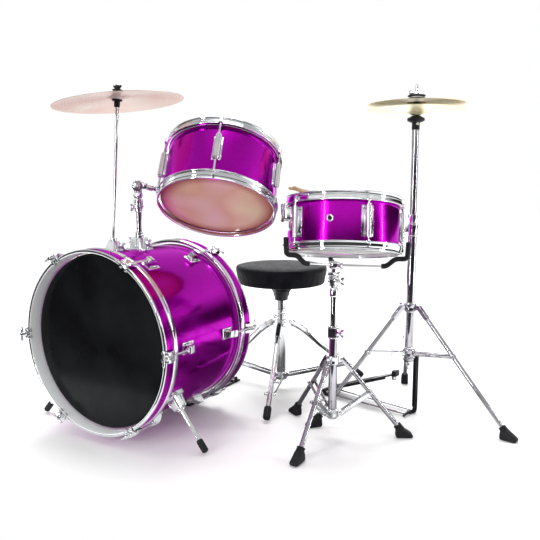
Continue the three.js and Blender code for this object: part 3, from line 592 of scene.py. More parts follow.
def bass_claw():
    """A two-lobed cast claw over the hoop's edge with its T-handled rod; X is radial, Z along the drum."""
    r = BASS["hoop"]
    outline = from_start(r, 0, (-11, 2.5), (-11, -1.2), (-8, -3.4), (5, -4), (9, -2), (11, 4), (10, 14),
        (6, 24), (1.6, 29), (1.6, 14), (1.4, 2.4), (-1, -0.6), (-8, -0.6), (-9, 2.5))
    lobes = [upright(outline, 7.5, 1.2, 1.6, side * 8.2) for side in (-1, 1)]
    bridge = upright(from_start(r, 0, (1.8, -3), (8, -3.2), (9.4, 4), (8.2, 13), (2.6, 17)), 16, 1, 1.5)
    boss = drum([(5, -6.5), (6.6, -4), (6.6, 12), (4.6, 15)], 1, 20)
    rivets = [pin(2.6, -5.2, -2, 0.8).moved(shift(r - 2, side * 8.2, 0)) for side in (-1, 1)]
    handle = bar([(0, -18, 0), (0, -15, 0), (0, -5, 0), (0, 0, 0), (0, 5, 0), (0, 15, 0), (0, 18, 0)],
        [2.3, 3.1, 2.4, 2.8, 2.4, 3.1, 2.3], 12)
    head = drum([(0, -16.2), (4, -16), (4.4, -10.5), (0, -9.8)])
    screw = [pin(2.7, -13, BASS["lug_from"] + 6, 0.4, 12), head]
    washer = drum([(5.4, -9), (5.4, -7.4)], 0.4)
    turned_parts = moved([boss, *screw, washer], shift(BASS["rods"], 0, 0))
    return [*lobes, bridge, *rivets, *turned_parts, handle.moved(shift(BASS["rods"], 0, -13))]


def bass_lug():
    """A box lug on its base plate, which takes the rod from the front."""
    r, start = BASS["shell"], BASS["lug_from"]
    base = block(3, 27, 38, (r + 0.9, 0, start + 18), 0.9)
    body = upright(from_start(r, start, (1, 1), (17, 0), (23.4, 1.5), (23.6, 12), (19, 22), (9, 32),
        (1, 34)), 17, 1.4, 2)
    socket = ring([(3, 0), (5.8, 0), (6, 3), (5.6, 8), (3, 8)], 0.6, 20)
    socket = socket.moved(shift(BASS["rods"] - 3.4, 0, start - 3))
    screws = [s.moved(shift(r + 2.2, side * 10.8, start + 31) @ spin(90, "Y")) for side in (-1, 1)
        for s in hex_bolt(1.8, 1.6)]
    return [base, body, socket, *screws]


def film(shell, inset):
    """A head: flat film, the turn over the bearing edge and the skirt; drawn at the drum's first face."""
    outside = [(0, inset - 0.3), (shell - 14, inset - 0.3), (shell - 4, inset - 0.1),
        (shell + 0.4, inset + 1.4), (shell + 1.7, inset + 4.5), (shell + 1.9, inset + 9)]
    inside = [(shell + 1.1, inset + 9), (shell + 0.9, inset + 4.7), (shell - 0.3, inset + 2.1),
        (shell - 4.2, inset + 0.7), (shell - 14, inset + 0.4), (0, inset + 0.4)]
    return lathe(soft(outside, 3) + soft(inside, 3), 128)


def cast_bracket(base, top, height, bore):
    """A four-sided bracket that narrows upwards, on a flange, with a split clamp collar at its top."""
    flange = pillar([(-7, base + 8, base + 6, 7), (1.2, base + 8, base + 6, 7),
        (2.6, base + 5, base + 3, 6)])
    body = pillar([(0, base, base - 3, 5), (3, base - 2, base - 5, 5), (height - 3, top + 1, top, 4),
        (height - 0.6, top - 1, top - 2, 4), (height, top - 4, top - 5, 3)])
    collar = ring(from_start(bore, height, (0.4, -2), (5, -2), (5, 6), (0.4, 6)), 1, 24)
    return [flange, body, collar]


def side_screw(distance, height, angle, reach=6, span=10):
    """A wing screw that points sideways out of a bracket."""
    return moved(wing_screw(reach, span), outward(angle, distance, height))


def spur_frame(side):
    return [Vector((side * point.x, point.y, point.z)) for point in (SPUR["foot"], SPUR["entry"])]


def crash_frame():
    place = leaning(CRASH)
    hole = place @ Vector((0, 0, CRASH["bell"]))
    return aimed(CRASH_FOOT, hole - CRASH_FOOT), (hole - CRASH_FOOT).length


def bass_drum():
    near, far = BASS["inset"] + 1, BASS["depth"] - BASS["inset"] - 1
    r, inner = BASS["shell"], BASS["shell"] - BASS["wall"]
    shell = ring([(inner, near + 2), (r - 3.4, near), (r, near + 3), (r, far - 3), (r - 3.4, far),
        (inner, far - 2)], 0.5, 160)
    seam = block(0.7, 20, far - near - 34, (r + 0.1, 0, (near + far) / 2), 0.3).moved(spin(96))
    build("bass_drum_shell", "kit_base", "wrap", [shell, seam], BASS_FRAME, ["bass_shell"])
    vent = ring([(4, -2), (7.5, -2), (8, 1), (6, 1.8), (4, 1.4)], 0.6, 24)
    build("bass_drum_badge_free_vent", "kit_base", "chrome",
        [vent.moved(outward(-128, r, (near + far) / 2))], BASS_FRAME)
    lugs = around(BASS["lugs"], 0, bass_lug())
    build("bass_lugs_front", "kit_base", "chrome", lugs, BASS_FRAME)
    build("bass_lugs_rear", "kit_base", "chrome", rear_of_bass(lugs), BASS_FRAME)
    claws = around(BASS["lugs"], 0, bass_claw())
    for end, arrange in (("front", list), ("rear", rear_of_bass)):
        body, inlay, lining = bass_hoop_rings()
        build(f"bass_hoop_{end}", "kit_base", "chrome", arrange([body]), BASS_FRAME, [f"bass_{end}_hoop"])
        build(f"bass_hoop_{end}_inlay", "kit_base", "wrap", arrange([inlay]), BASS_FRAME)
        build(f"bass_hoop_{end}_lining", "kit_base", "satin", arrange([lining]), BASS_FRAME)
        build(f"bass_claws_{end}", "kit_base", "chrome", arrange(claws), BASS_FRAME)
    build("bass_head_front", "kit_base", "black_head", [film(r, BASS["inset"])], BASS_FRAME,
        ["bass_front_head"])
    build("bass_head_rear", "kit_base", "white_film", rear_of_bass([film(r, BASS["inset"])]), BASS_FRAME,
        ["bass_batter_head"])
    bass_fittings()


def bass_fittings():
    crown = BASS["axis"] + BASS["shell"]
    post_at = shift(TOM_POST[0], TOM_POST[1], crown)
    bracket = cast_bracket(42, 31, 28, 7)
    bracket += side_screw(15, 14, 20, 4) + side_screw(14, 21, 200, 3, 8)
    build("tom_post_bracket", "kit_base", "chrome", moved(bracket, post_at))
    rod_place, _ = crash_frame()
    direction = rod_place.to_3x3() @ Vector((0, 0, 1))
    base = CRASH_FOOT + direction * ((crown - 2 - CRASH_FOOT.z) / direction.z)
    bracket = cast_bracket(36, 24, 25, 4) + side_screw(12, 13, 25, 5, 9)
    build("crash_rod_bracket", "kit_base", "chrome", moved(bracket, aimed(base, direction)))
    for name, side in (("left", -1), ("right", 1)):
        foot, entry = spur_frame(side)
        bracket = cast_bracket(34, 26, 30, 5)
        bracket += side_screw(13, 16, 90 - 65 * side, 5, 9)
        build(f"spur_bracket_{name}", "kit_base", "chrome", moved(bracket, aimed(entry, foot - entry)))
        length = (entry - foot).length + 18
        body = f"spur_{name}"
        place = aimed(foot, entry - foot)
        rod = drum([(5, 6), (5, length - 2), (4, length)], 0.6, 24)
        stop = ring([(5, 36), (6.6, 36), (6.6, 41), (5, 41)], 0.6, 24)
        build(f"spur_rod_{name}", body, "chrome", [rod, stop], place, [body])
        cap = lathe(soft([(0, 0.2), (4, 0.2), (7.6, 3), (8, 8), (7.2, 9), (8, 10), (8, 14), (7.2, 15),
            (8, 16), (8, 20), (7.2, 21), (8, 22), (7.4, 30), (5.2, 32), (5.1, 32)], 0.7), 28)
        build(f"spur_tip_{name}", body, "rubber", [cap], place)


# ---- Tom and snare drum ------------------------------------------------------------------------------


def flanged_hoop(kit):
    """A triple-flanged hoop with rod ears, drawn at the drum's bottom face."""
    r = kit["shell"] + 2.9
    top = kit["hoop_height"]
    profile = [(r, 1.4), (r + 1.2, 0.2), (r + 4.2, 0), (r + 5, 1.4), (r + 4.2, 2.9), (r + 1.9, 3.4),
        (r + 1.8, 8), (r + 3.2, 9.4), (r + 3.3, top - 3.6), (r + 5, top - 2.4), (r + 7.6, top - 2.2),
        (r + 8, top - 0.6), (r + 6.6, top), (r + 2, top - 0.1), (r + 1.6, 10.6), (r, 9)]
    ears = around(kit["lugs"], kit["first_lug"], [plate([(r + 1, -10), (ROD_CIRCLE + 1, -7),
        (ROD_CIRCLE + 4, -3), (ROD_CIRCLE + 4, 3), (ROD_CIRCLE + 1, 7), (r + 1, 10)], 2.6, 0.7,
        2).moved(shift(0, 0, top - 1.3))])
    return [ring(profile, 0.9, 128), *ears]


def tension_rods(kit):
    """Key rods with square heads and washers, from the hoop's ears into the lugs."""
    top = kit["hoop_height"]
    end = (kit["depth"] - kit["lug"][0]) / 2 + 3
    square = pillar([(top - 13, 5, 5, 0.9), (top - 12.4, 5.8, 5.8, 1), (top - 6, 5.8, 5.8, 1),
        (top - 5.6, 5, 5, 1)])
    collar = drum([(4.4, top - 6), (4.8, top - 3), (0, top - 2.8)], 0.5, 20)
    shaft = pin(2.3, top - 4, end, 0.3, 12)
    return around(kit["lugs"], kit["first_lug"], moved([square, collar, shaft], shift(ROD_CIRCLE, 0, 0)))


def tube_lug(kit):
    """A half-round lug on a base plate, with swivel nuts in its ends."""
    length, thick, wide = kit["lug"]
    r, middle = kit["shell"], kit["depth"] / 2
    low, high = middle - length / 2, middle + length / 2
    base = block(2.6, wide, length - 2, (r + 1, 0, middle), 0.8)
    web = upright([(r + 1, low + 3), (r + 9, low + 1.5), (r + 9, high - 1.5), (r + 1, high - 3)],
        thick - 5, 0.8, 1)
    tube = bar([(ROD_CIRCLE - 1, 0, low), (ROD_CIRCLE - 1, 0, high)], thick / 2 - 0.6, 24)
    collars = [ring([(2.6, 0), (5.2, 0), (5.4, 2.6), (2.6, 2.6)], 0.5, 20).moved(shift(ROD_CIRCLE, 0, z))
        for z in (low - 1.2, high - 1.4)]
    foot_ribs = [block(4, wide - 6, 4, (r + 3, 0, z), 0.8) for z in (low + 6, high - 6)]
    return [base, web, tube, *collars, *foot_ribs]


def small_drum(name, kit, under_name, under_look):
    place = leaning(kit)
    body, depth = kit["body"], kit["depth"]
    r, inner = kit["shell"], kit["shell"] - kit["wall"]
    near, far = kit["inset"] + 1, depth - kit["inset"] - 1
    shell = ring([(inner, near + 1.5), (r - 3, near), (r, near + 2.5), (r, far - 2.5), (r - 3, far),
        (inner, far - 1.5)], 0.5, 128)
    seam = block(0.7, 16, far - near - 22, (r + 0.1, 0, depth / 2), 0.3).moved(spin(40))
    build(f"{name}_drum_shell", body, "wrap", [shell, seam], place, [f"{name}_shell"])
    build(f"{name}_lugs", body, "chrome", around(kit["lugs"], kit["first_lug"], tube_lug(kit)), place)
    for end, where in ((under_name, shift()), ("batter", flipped(depth))):
        build(f"{name}_hoop_{end}", body, "chrome", moved(flanged_hoop(kit), where), place,
            [f"{name}_{end}_hoop"])
        build(f"{name}_rods_{end}", body, "chrome", moved(tension_rods(kit), where), place)
        look = under_look if end == under_name else "white_film"
        build(f"{name}_film_{end}", body, look, moved([film(r, kit["inset"])], where), place,
            [f"{name}_{end}_head"])
    return place


def tom():
    place = small_drum("tom", TOM, "resonant", "tinted_film")
    angle, height = TOM_MOUNT
    r = TOM["shell"]
    base = block(3, 40, 56, (r + 1.2, 0, 0), 1.2)
    body = pillar([(0, 28, 42, 5), (8, 26, 40, 5), (20, 22, 34, 5), (22, 19, 31, 4)])
    body = body.moved(shift(r + 2, 0, 0) @ spin(90, "Y") @ spin(90))
    socket = ring([(5.2, 0), (10, 0), (10, 7), (5.2, 7)], 1, 24)
    socket = socket.moved(shift(r + 20, 0, 0) @ spin(90, "Y"))
    bolts = [s.moved(shift(r + 2.6, 14 * a, 22 * b) @ spin(90, "Y")) for a in (-1, 1) for b in (-1, 1)
        for s in hex_bolt(2.6, 2.6)]
    screw = moved(wing_screw(6, 10), shift(r + 13, 0, 17) @ spin(14, "X"))
    mount = moved([base, body, socket, *bolts, *screw], spin(angle) @ shift(0, 0, height))
    build("tom_mount", "tom", "chrome", mount, place)
    reach = r + 24 + 3.2
    tom_holder(place @ spin(angle) @ Vector((reach, 0, height)))


def tom_holder(arm_end):
    x, y = TOM_POST
    at_post = shift(x, y, 0)
    post = drum([(6, 395), (7, 397), (7, 559), (6.4, 560)], 0.6, 32)
    stop = ring([(7, 471), (10.5, 471), (10.5, 478), (7, 478)], 1, 28)
    build("tom_post_tube", "tom_post", "tube", [post], at_post, ["tom_post"])
    build("tom_post_memory_ring", "tom_post", "chrome", [stop, *side_screw(9, 474.5, 150, 3, 7)], at_post)
    elbow = Vector((x, y, TOM_ELBOW))
    toward = Vector((arm_end.x - x, arm_end.y - y, 0)).normalized()
    turn = math.degrees(math.atan2(toward.y, toward.x))
    sleeve = ring([(7.4, 528), (11.4, 528), (11.8, 530), (11.8, 558), (7.4, 558)], 0.8, 32)
    cap = drum([(11.8, 560.5), (12.2, 566), (10.6, 575), (0, 577)], 1, 32)
    band = ring([(11.6, 534), (13.6, 534), (13.6, 544), (11.6, 544)], 0.8, 32)
    tongue = upright([(-9, 568), (9, 568), (11, 584), (9, 596), (0, 600), (-9, 596), (-11, 584)], 7, 0.8,
        3)
    screw = side_screw(11, 539, -120, 5, 9)
    place = at_post @ spin(turn)
    build("tom_elbow_casting", "tom_elbow", "chrome", [sleeve, cap, band, tongue, *screw], place,
        ["tom_elbow"])
    disc = drum([(13.6, 0), (14.2, 1.4), (14.2, 3.8), (12.6, 5.4), (8, 5.6), (7, 6.4)], 0.5, 40)
    teeth = around(20, 0, [block(1.2, 1.6, 3.4, (14.2, 0, 2.4), 0.3)])
    ratchets = [s for side in (-1, 1) for s in moved([disc, *teeth],
        shift(0, side * 3.9, 0) @ spin(-90 * side, "X"))]
    wing = moved(wing_screw(4, 10), shift(0, -9, 0) @ spin(90, "X"))
    yoke = block(10, 18, 15, (18.5, 0, 0), 2)
    arm_at = Vector((15, 0, 0))
    local_end = (shift(*elbow) @ spin(turn)).inverted() @ arm_end
    direction = (local_end - arm_at).normalized()
    arm = bar([arm_at, local_end], 5, 20)
    sleeve = bar([arm_at + direction * 4, arm_at + direction * 24], 8, 24)
    nut = bar([arm_at + direction * 25, arm_at + direction * 30], 7, 6)
    build("tom_arm_ratchet", "tom_arm", "chrome", [*ratchets, *wing, yoke, arm, sleeve, nut],
        shift(*elbow) @ spin(turn), ["tom_arm"])


def snare_drum():
    place = small_drum("snare", SNARE, "side", "white_film")
    r = SNARE["shell"]
    strainer_turn = spin(STRAINER_ANGLE)
    plate_back = block(3, 34, 52, (r + 1.2, 0, 74), 1)
    housing = pillar([(0, 26, 30, 4), (6, 24, 28, 4), (11, 20, 24, 3), (12, 17, 21, 3)])
    housing = housing.moved(shift(r + 2, 0, 84) @ spin(90, "Y") @ spin(90))
    build("strainer_body", "snare_drum", "chrome", moved([plate_back, housing], strainer_turn), place)
    knob = drum([(6.5, 0), (7, 2), (7, 9), (5.6, 11), (0, 11.4)], 0.8, 20)
    flutes = around(12, 0, [block(1.4, 1.6, 8, (7, 0, 5.5), 0.4)])
    build("strainer_knob", "snare_drum", "chrome", moved([knob, *flutes],
        strainer_turn @ shift(r + 9, 0, 98)), place)
    butt = [block(3, 34, 30, (r + 1.2, 0, 44), 1), block(12, 28, 12, (r + 7, 0, 40), 1.6),
        block(4, 24, 8, (r + 14, 0, 40), 1)]
    butt += [s.moved(shift(r + 15.6, y, 40) @ spin(90, "Y")) for y in (-7, 7) for s in hex_bolt(2.8, 2.4)]
    build("snare_butt_plate", "snare_drum", "chrome", moved(butt, spin(STRAINER_ANGLE + 180)), place)
    vent_turn = outward(VENT_ANGLE, r, 68)
    grommet = ring([(4.4, -1), (7.6, -1), (8, 0.8), (6.4, 2), (4.6, 1.6)], 0.7, 32)
    build("snare_vent_grommet", "snare_drum", "chrome", moved([grommet], vent_turn), place)
    # painted shade: a black disc fills the vent hole where the drum's dark inside would show
    build("snare_vent_painted_shade", "snare_drum", "rubber", moved([pin(4.6, -3, 0.4, 0.3, 24)], vent_turn), place)
    strands = []
    for k in range(16):
        y = -19 + 38 * k / 15
        strands.append(bar([(-106, y, 8.2), (106, y, 8.2)], 0.65, 6))
    ends = [block(10, 42, 1.6, (side * 108, 0, 8.2), 0.4) for side in (-1, 1)]
    straps = [block(18, 14, 0.6, (side * 119, 0, 8.4), 0.2) for side in (-1, 1)]
    build("snare_wire_strands", "snare_drum", "wire", moved(strands + ends + straps, strainer_turn),
        place, ["snare_wires"])
    lever_place = place @ strainer_turn @ shift(r + 14.4, 0, 70)
    lever = upright([(0.2, -4), (4.6, -4), (5, 10), (6.6, 20), (6.8, 37), (4.6, 39), (0.6, 38),
        (0.4, 14)], 10, 1, 1.2)
    grip = block(4, 14, 16, (4.2, 0, 29), 1.2)
    pivot = moved([pin(3, 0, 2.2)], shift(5, 0, 0) @ spin(90, "Y"))
    build("strainer_lever_arm", "strainer_lever", "chrome", [lever, grip, *pivot], lever_place,
        ["strainer_lever"])
    drumsticks(place)


def drumsticks(place):
    """A pair of short sticks left on the snare drum, with their tips over its rim."""
    top = SNARE["depth"]
    for k, (offset, slant) in enumerate(((-6, 0.0), (6, 10.0))):
        path = [(-152, offset, top + 9.6), (-149, offset, top + 9.2), (-144, offset, top + 8.6),
            (-139, offset, top + 8), (-120, offset, top + 5.8), (0, offset, top - 2.2),
            (96, offset, top - 5)]
        stick = bar(path, [1.6, 3.2, 3.3, 2.2, 3.2, 5, 5], 16)
        build(f"drumstick_{k + 1}", "snare_drum", "wood", [stick.moved(spin(slant - 52))], place)


# ---- Cymbals -----------------------------------------------------------------------------------------


def cymbal(size):
    """A cymbal with its rim at height 0 and the flat of its bell on top."""
    rim, bell_r, bow, bell = size["radius"], size["bell_radius"], size["bow"], size["bell"]
    bow_steps, bow_power, bell_steps, bell_power, hole = 14, 1.7, 8, 0.85, 6.5
    upper = [(rim, 0.0)]
    for k in range(1, bow_steps + 1):
        share = k / bow_steps
        upper.append((rim - (rim - bell_r) * share, bow * (1 - (1 - share) ** bow_power)))
    for k in range(1, bell_steps + 1):
        share = k / bell_steps
        radius = bell_r - (bell_r - hole) * share
        upper.append((radius, bow + (bell - bow) * math.sin(share * math.pi / 2) ** bell_power))
    thickness = size["thickness"]
    lower = [(radius, height - thickness) for radius, height in reversed(upper)]
    lower[-1] = (rim - 0.3, -thickness * 0.7)
    return lathe(upper + lower, 128, closed=True)


def wing_nut(height):
    """A black wing nut along +Z."""
    body = drum([(6.6, 0), (7, 2), (6, 8), (4.4, 9.4), (0, 10)], 0.8, 24)
    wing = [(3, 2), (10, 3.4), (13, 7), (12, 9.4), (9, 9), (4, 7)]
    return moved([body, *(upright([(s * x, z) for x, z in wing], 4, 1, 1.5) for s in (-1, 1))],
        shift(0, 0, height))


def crash():
    place, reach = crash_frame()
    rod = drum([(4, 0), (4, reach - 34), (4, reach + 12), (3.4, reach + 18), (0, reach + 19)], 0.6, 24)
    build("crash_rod_bar", "crash_rod", "chrome", [rod], place, ["crash_rod"])
    sleeve = [drum([(6.4, reach - 34), (7, reach - 30), (7, reach - 20)], 0.8),
        drum([(12, reach - 20), (12.4, reach - 16)], 1, 32)]
    cups = [drum([(11.4, reach + 3.6), (11.8, reach + 6.4)], 0.6, 32)]
    build("crash_sleeve", "crash_rod", "rubber", sleeve + cups + wing_nut(reach + 7), place)
    felts = [drum([(11, reach - 16), (11.6, reach - 12), (11, reach - 8)], 1.5, 32)]
    build("crash_felt", "crash_rod", "felt", felts, place)
    build("crash_disc", "crash_cymbal", "pale_bronze", [cymbal(CRASH)],
        leaning(CRASH) @ spin(-CRASH["heading"]), ["crash_cymbal"], 60)


# ---- Folding tripods ---------------------------------------------------------------------------------


def leg_line(stand):
    """In the plane through one leg, from its hinge: the foot, the brace pin and the leg's direction."""
    (top_r, top_z), (foot_r, foot_z) = stand["upper"], stand["foot"]
    foot = Vector((foot_r - top_r, 0, foot_z - top_z))
    return foot, foot * stand["brace_at"], foot.normalized()


def leg_frame(stand, heading, r, z):
    x, y = stand["centre"]
    return shift(x, y, 0) @ spin(heading) @ shift(r, 0, z)


def cross_pin(at, *parts):
    """Bars along Y through a point, each from low to high."""
    at = Vector(at)
    return [bar([at + Vector((0, low, 0)), at + Vector((0, high, 0))], radius, sides) for low, high,
        radius, sides in parts]


def collar(stand, level):
    """The stand's cast collar at its upper or lower level, with an ear for each leg or brace."""
    r_pin, height = stand[level]
    ear = 5 if level == "upper" else 2 * stand["leg"]
    half = (ear + stand["rivet"]) / 2
    outer = stand["tube"] + 5
    body = ring([(stand["tube"] + 0.4, -10), (outer - 1, -10), (outer, -8), (outer - 0.8, 0), (outer, 8),
        (outer - 1, 10), (stand["tube"] + 0.4, 10)], 0.9, 40)
    ears = []
    for heading in stand["headings"]:
        outline = [(outer - 2, -6.5), (r_pin - 1, -5), (r_pin + 4, -2.5), (r_pin + 4, 2.5),
            (r_pin - 1, 5), (outer - 2, 6.5)]
        rivet = cross_pin((r_pin, 0, 0), (-half, half, 2.4, 14), (-half - 1, -half + 0.6, 3.6, 16),
            (half - 0.6, half + 1, 3.6, 16))
        ears += moved([upright(outline, ear, 0.8, 1.5), *rivet], spin(heading))
    return moved([body, *ears], shift(0, 0, height))


def shoe(foot, direction):
    """A rubber boot on a leg's end: a sleeve along the leg and a sole with a rounded toe."""
    ankle = foot - direction * 6
    sleeve = bar([ankle + direction * 4, ankle, ankle - direction * 9, ankle - direction * 13],
        [8.4, 9.6, 9.4, 8.6], 24)
    x, z = foot.x, foot.z
    floor = z - 14
    outline = from_start(x, floor, (-16, 4), (-13, 0), (21, 0), (25.4, 3.5), (22, 10), (8, 19), (-3, 27),
        (-15, 20))
    sole = upright(outline, 20, 2.6, 3)
    lip = bar([ankle - direction * 12, ankle - direction * 14.5], 9.6, 24)
    return [sleeve, sole, lip]


def round_cap(foot, direction):
    """A ribbed rubber cap on a throne leg."""
    place = aimed(foot + direction * 0.2, -direction)
    ribs = [(0, 0.2), (6, 0.2), (8.6, 2), (9.6, 5)]
    for k in range(5):
        z = 7 + 5 * k
        ribs += [(9.8, z), (9.1, z + 1.2), (9.8, z + 2.4)]
    return [lathe(soft([*ribs, (9.2, 34), (7.4, 35), (7.2, 35)], 0.5), 32).moved(place)]


def leg_shapes(stand, shouldered):
    foot, pin_at, along = leg_line(stand)
    radius = stand["leg"]
    bolt = cross_pin(pin_at, (-radius - 6, radius + 6, 2.2, 14), (-radius - 7.5, -radius - 5, 3.6, 6),
        (radius + 5, radius + 7.5, 3.6, 16))
    cheeks = []
    for side in (-1, 1):
        path = [along * -4.5, along * 6, along * 24, along * 34]
        cheeks.append(sweep(path, rounded_box(2.8, 11, 1), side=Y_AXIS).moved(shift(0, side * 4.6, 0)))
    if shouldered:
        end, up = foot - along * 16, Vector((-along.z, 0, along.x))
        path = [along * 10, along * 22 + up * 4, along * 42 + up * 5, along * 76 + up * 3, along * 120,
            end]
        line = soft(path, 14, 4)
        tube = sweep(line, rounded_box(12, 16.5, 5), side=Y_AXIS)
        shoulder = sweep([along * 8, along * 15 + up * 2.4, along * 24 + up * 4.6, along * 42 + up * 5,
            along * 52 + up * 4.6], rounded_box(14.4, 18.6, 3), side=Y_AXIS)
        bands = [sweep([along * d + up * 4, along * (d + 4) + up * 3.8], rounded_box(13.6, 18, 5),
            side=Y_AXIS) for d in (60, 70)]
        return [tube, shoulder, *bands, *cheeks, *bolt]
    tube = bar([along * 12, along * 18, foot - along * 20], [radius - 1, radius, radius], 24)
    band = bar([along * 36, along * 40], radius + 0.8, 24)
    return [tube, band, *cheeks, *bolt]


def brace_shapes(stand):
    """Two flat strips either side of the leg, joined by a spacer, with their rivet at the collar."""
    _, pin_at, _ = leg_line(stand)
    (low_r, low_z), (top_r, top_z) = stand["lower"], stand["upper"]
    end = Vector((pin_at.x + top_r - low_r, 0, pin_at.z + top_z - low_z))
    direction = end.normalized()
    offset = stand["leg"] + 0.8 + 1.5
    path = [direction * -4.6, direction, end, end + direction * 4.6]
    strip = sweep(path, rounded_box(2.6, 9.4, 0.9), side=Y_AXIS, sizes=[0.8, 1, 1, 0.8])
    strips = [strip.moved(shift(0, side * offset, 0)) for side in (-1, 1)]
    middle = end.length * 0.33
    spacer = cross_pin(direction * middle, (-offset, offset, 2.6, 16))
    heads = []
    for side in (-1, 1):
        for distance in (0, middle):
            head = (side * (offset + 1), side * (offset + 2.6), 3.4, 16)
            heads += cross_pin(direction * distance, head)
    return [*strips, *spacer, *heads]


def tripod(stand, leg_look, shouldered=False):
    name = stand["name"]
    foot, _, along = leg_line(stand)
    for k, heading in enumerate(stand["headings"], 1):
        place = leg_frame(stand, heading, *stand["upper"])
        body = f"{name}_leg_{k}"
        build(f"{name}_leg_tube_{k}", body, leg_look, leg_shapes(stand, shouldered), place, [body])
        rubber = round_cap(foot, along) if shouldered else shoe(foot, along)
        build(f"{name}_foot_rubber_{k}", body, "rubber", rubber, place)
        body = f"{name}_brace_{k}"
        build(f"{name}_brace_strips_{k}", body, "chrome", brace_shapes(stand),
            leg_frame(stand, heading, *stand["lower"]), [body])


def tube_ring(low, high, outer, inner, sides=40, softness=0.8):
    return ring([(inner, low), (outer, low), (outer, high), (inner, high)], softness, sides)


def height_clamp(low, high, bore, screw_turn):
    """A nylon-lined clamp sleeve with its rim, lug and wing screw."""
    dark = [tube_ring(low, high - 4, 13, bore)]
    bright = [tube_ring(high - 4, high, 13.6, bore), tube_ring(low - 1.4, low + 1.6, 13.5, bore)]
    lug = block(9, 12, 16, (14, 0, (low + high) / 2), 1.6).moved(spin(screw_turn))
    return dark, bright + [lug] + side_screw(17, (low + high) / 2, screw_turn, 4, 10)


def snare_stand():
    stand = SNARE_STAND
    at = shift(*stand["centre"])
    tripod(stand, "tube")
    dark, bright = height_clamp(242, 269, 8, -20)
    tube = ring([(8, 48), (9.4, 48), (10, 49), (10, 268), (8, 268)], 0.4, 40)
    build("snare_stand_tube_body", "kit_base", "tube", [tube], at, ["snare_stand_tube"])
    build("snare_stand_clamp", "kit_base", "black_metal", dark, at)
    build("snare_stand_clamp_trim", "kit_base", "chrome", bright, at)
    build("snare_stand_foot_collar", "kit_base", "chrome", collar(stand,
        "lower") + [drum([(10.4, 46), (10.8, 50)], 1, 32)], at)
    screw = side_screw(15, stand["upper"][1] + 2, 89, 4, 10)
    build("snare_stand_slide_collar", "snare_stand_collar", "chrome", collar(stand, "upper") + screw, at,
        ["snare_stand_collar"])
    upper = drum([(6.6, 130), (7.6, 132), (7.6, 347)], 0.6, 36)
    build("snare_upper_tube_body", "snare_upper_tube", "tube", [upper], at, ["snare_stand_upper_tube"])
    neck = drum([(10.2, 338), (10.8, 341), (10.4, 350), (9, 357), (6, 362)], 1, 36)
    tongue = upright([(-8, 355), (8, 355), (9.4, 366), (8.6, 380), (4, 386), (-4, 386), (-8.6, 380),
        (-9.4, 366)], 8.6, 1, 2)
    tongue = tongue.moved(spin(90))
    build("snare_tilter_neck", "snare_upper_tube", "chrome", [neck, tongue], at)
    basket()


def basket():
    place = leaning(SNARE)
    pivot = Vector((*SNARE_STAND["centre"], SNARE_PIVOT))
    lateral = BASKET["hooks"][0] - SNARE["heading"]
    hub = spin(lateral) @ Vector((BASKET["offset"], 0, 0)) + Vector((0, 0, BASKET["hub"]))
    rods, sleeves = [], []
    for hook in BASKET["hooks"]:
        turn = spin(hook - SNARE["heading"])
        reach = BASKET["reach"]
        path = [turn @ Vector((r, 0, z)) for r, z in ((reach - 58, BASKET["hub"] - 1),
            (reach - 46, BASKET["hub"] - 1), (reach - 27, -8), (reach, -8),
            (reach + 2, BASKET["hook_top"] - 4), (reach + 2, BASKET["hook_top"]))]
        rods.append(bar([hub, path[0], path[1]], 2.6, 16, bend=8))
        sleeves.append(bar(path, 5.8, 20, bend=9))
    build("basket_arm_sleeves", "snare_basket", "rubber", sleeves, place)
    hub_at = place @ hub
    hub_body = [drum([(11, -8), (13, -5), (13, 5), (11, 8)], 1, 36).moved(shift(*(hub_at - pivot))),
        bar([hub_at - pivot, Vector((hub_at.x - pivot.x, hub_at.y - pivot.y, 16))], 6, 24)]
    wings = moved(wing_screw(3, 7), shift(*(hub_at - pivot)) @ outward(-20, 12, 0))
    disc = drum([(13.2, 0), (14, 1), (14, 3.6), (12, 5.2), (6, 6)], 0.6, 40)
    teeth = around(18, 0, [block(1.2, 1.4, 3.2, (13.8, 0, 2.2), 0.3)])
    cheeks = [s for side in (-1, 1) for s in moved([disc, *teeth], shift(side * 4.9, 0,
        0) @ spin(90 * side, "Y"))]
    bridge = block(21, 24, 9, (0, 0, 16), 2)
    tilt_wing = moved(wing_screw(4, 9), shift(9.6, 0, 0) @ spin(90, "Y"))
    bolt = moved(hex_bolt(4.4, 4), shift(-9.6, 0, 0) @ spin(-90, "Y"))
    build("basket_tilter", "snare_basket", "chrome", [*hub_body, *wings, *cheeks, bridge, *tilt_wing,
        *bolt], shift(*pivot), ["snare_basket"])
    build("basket_arm_rods", "snare_basket", "chrome", rods, place)


# ---- Hi-hat ------------------------------------------------------------------------------------------


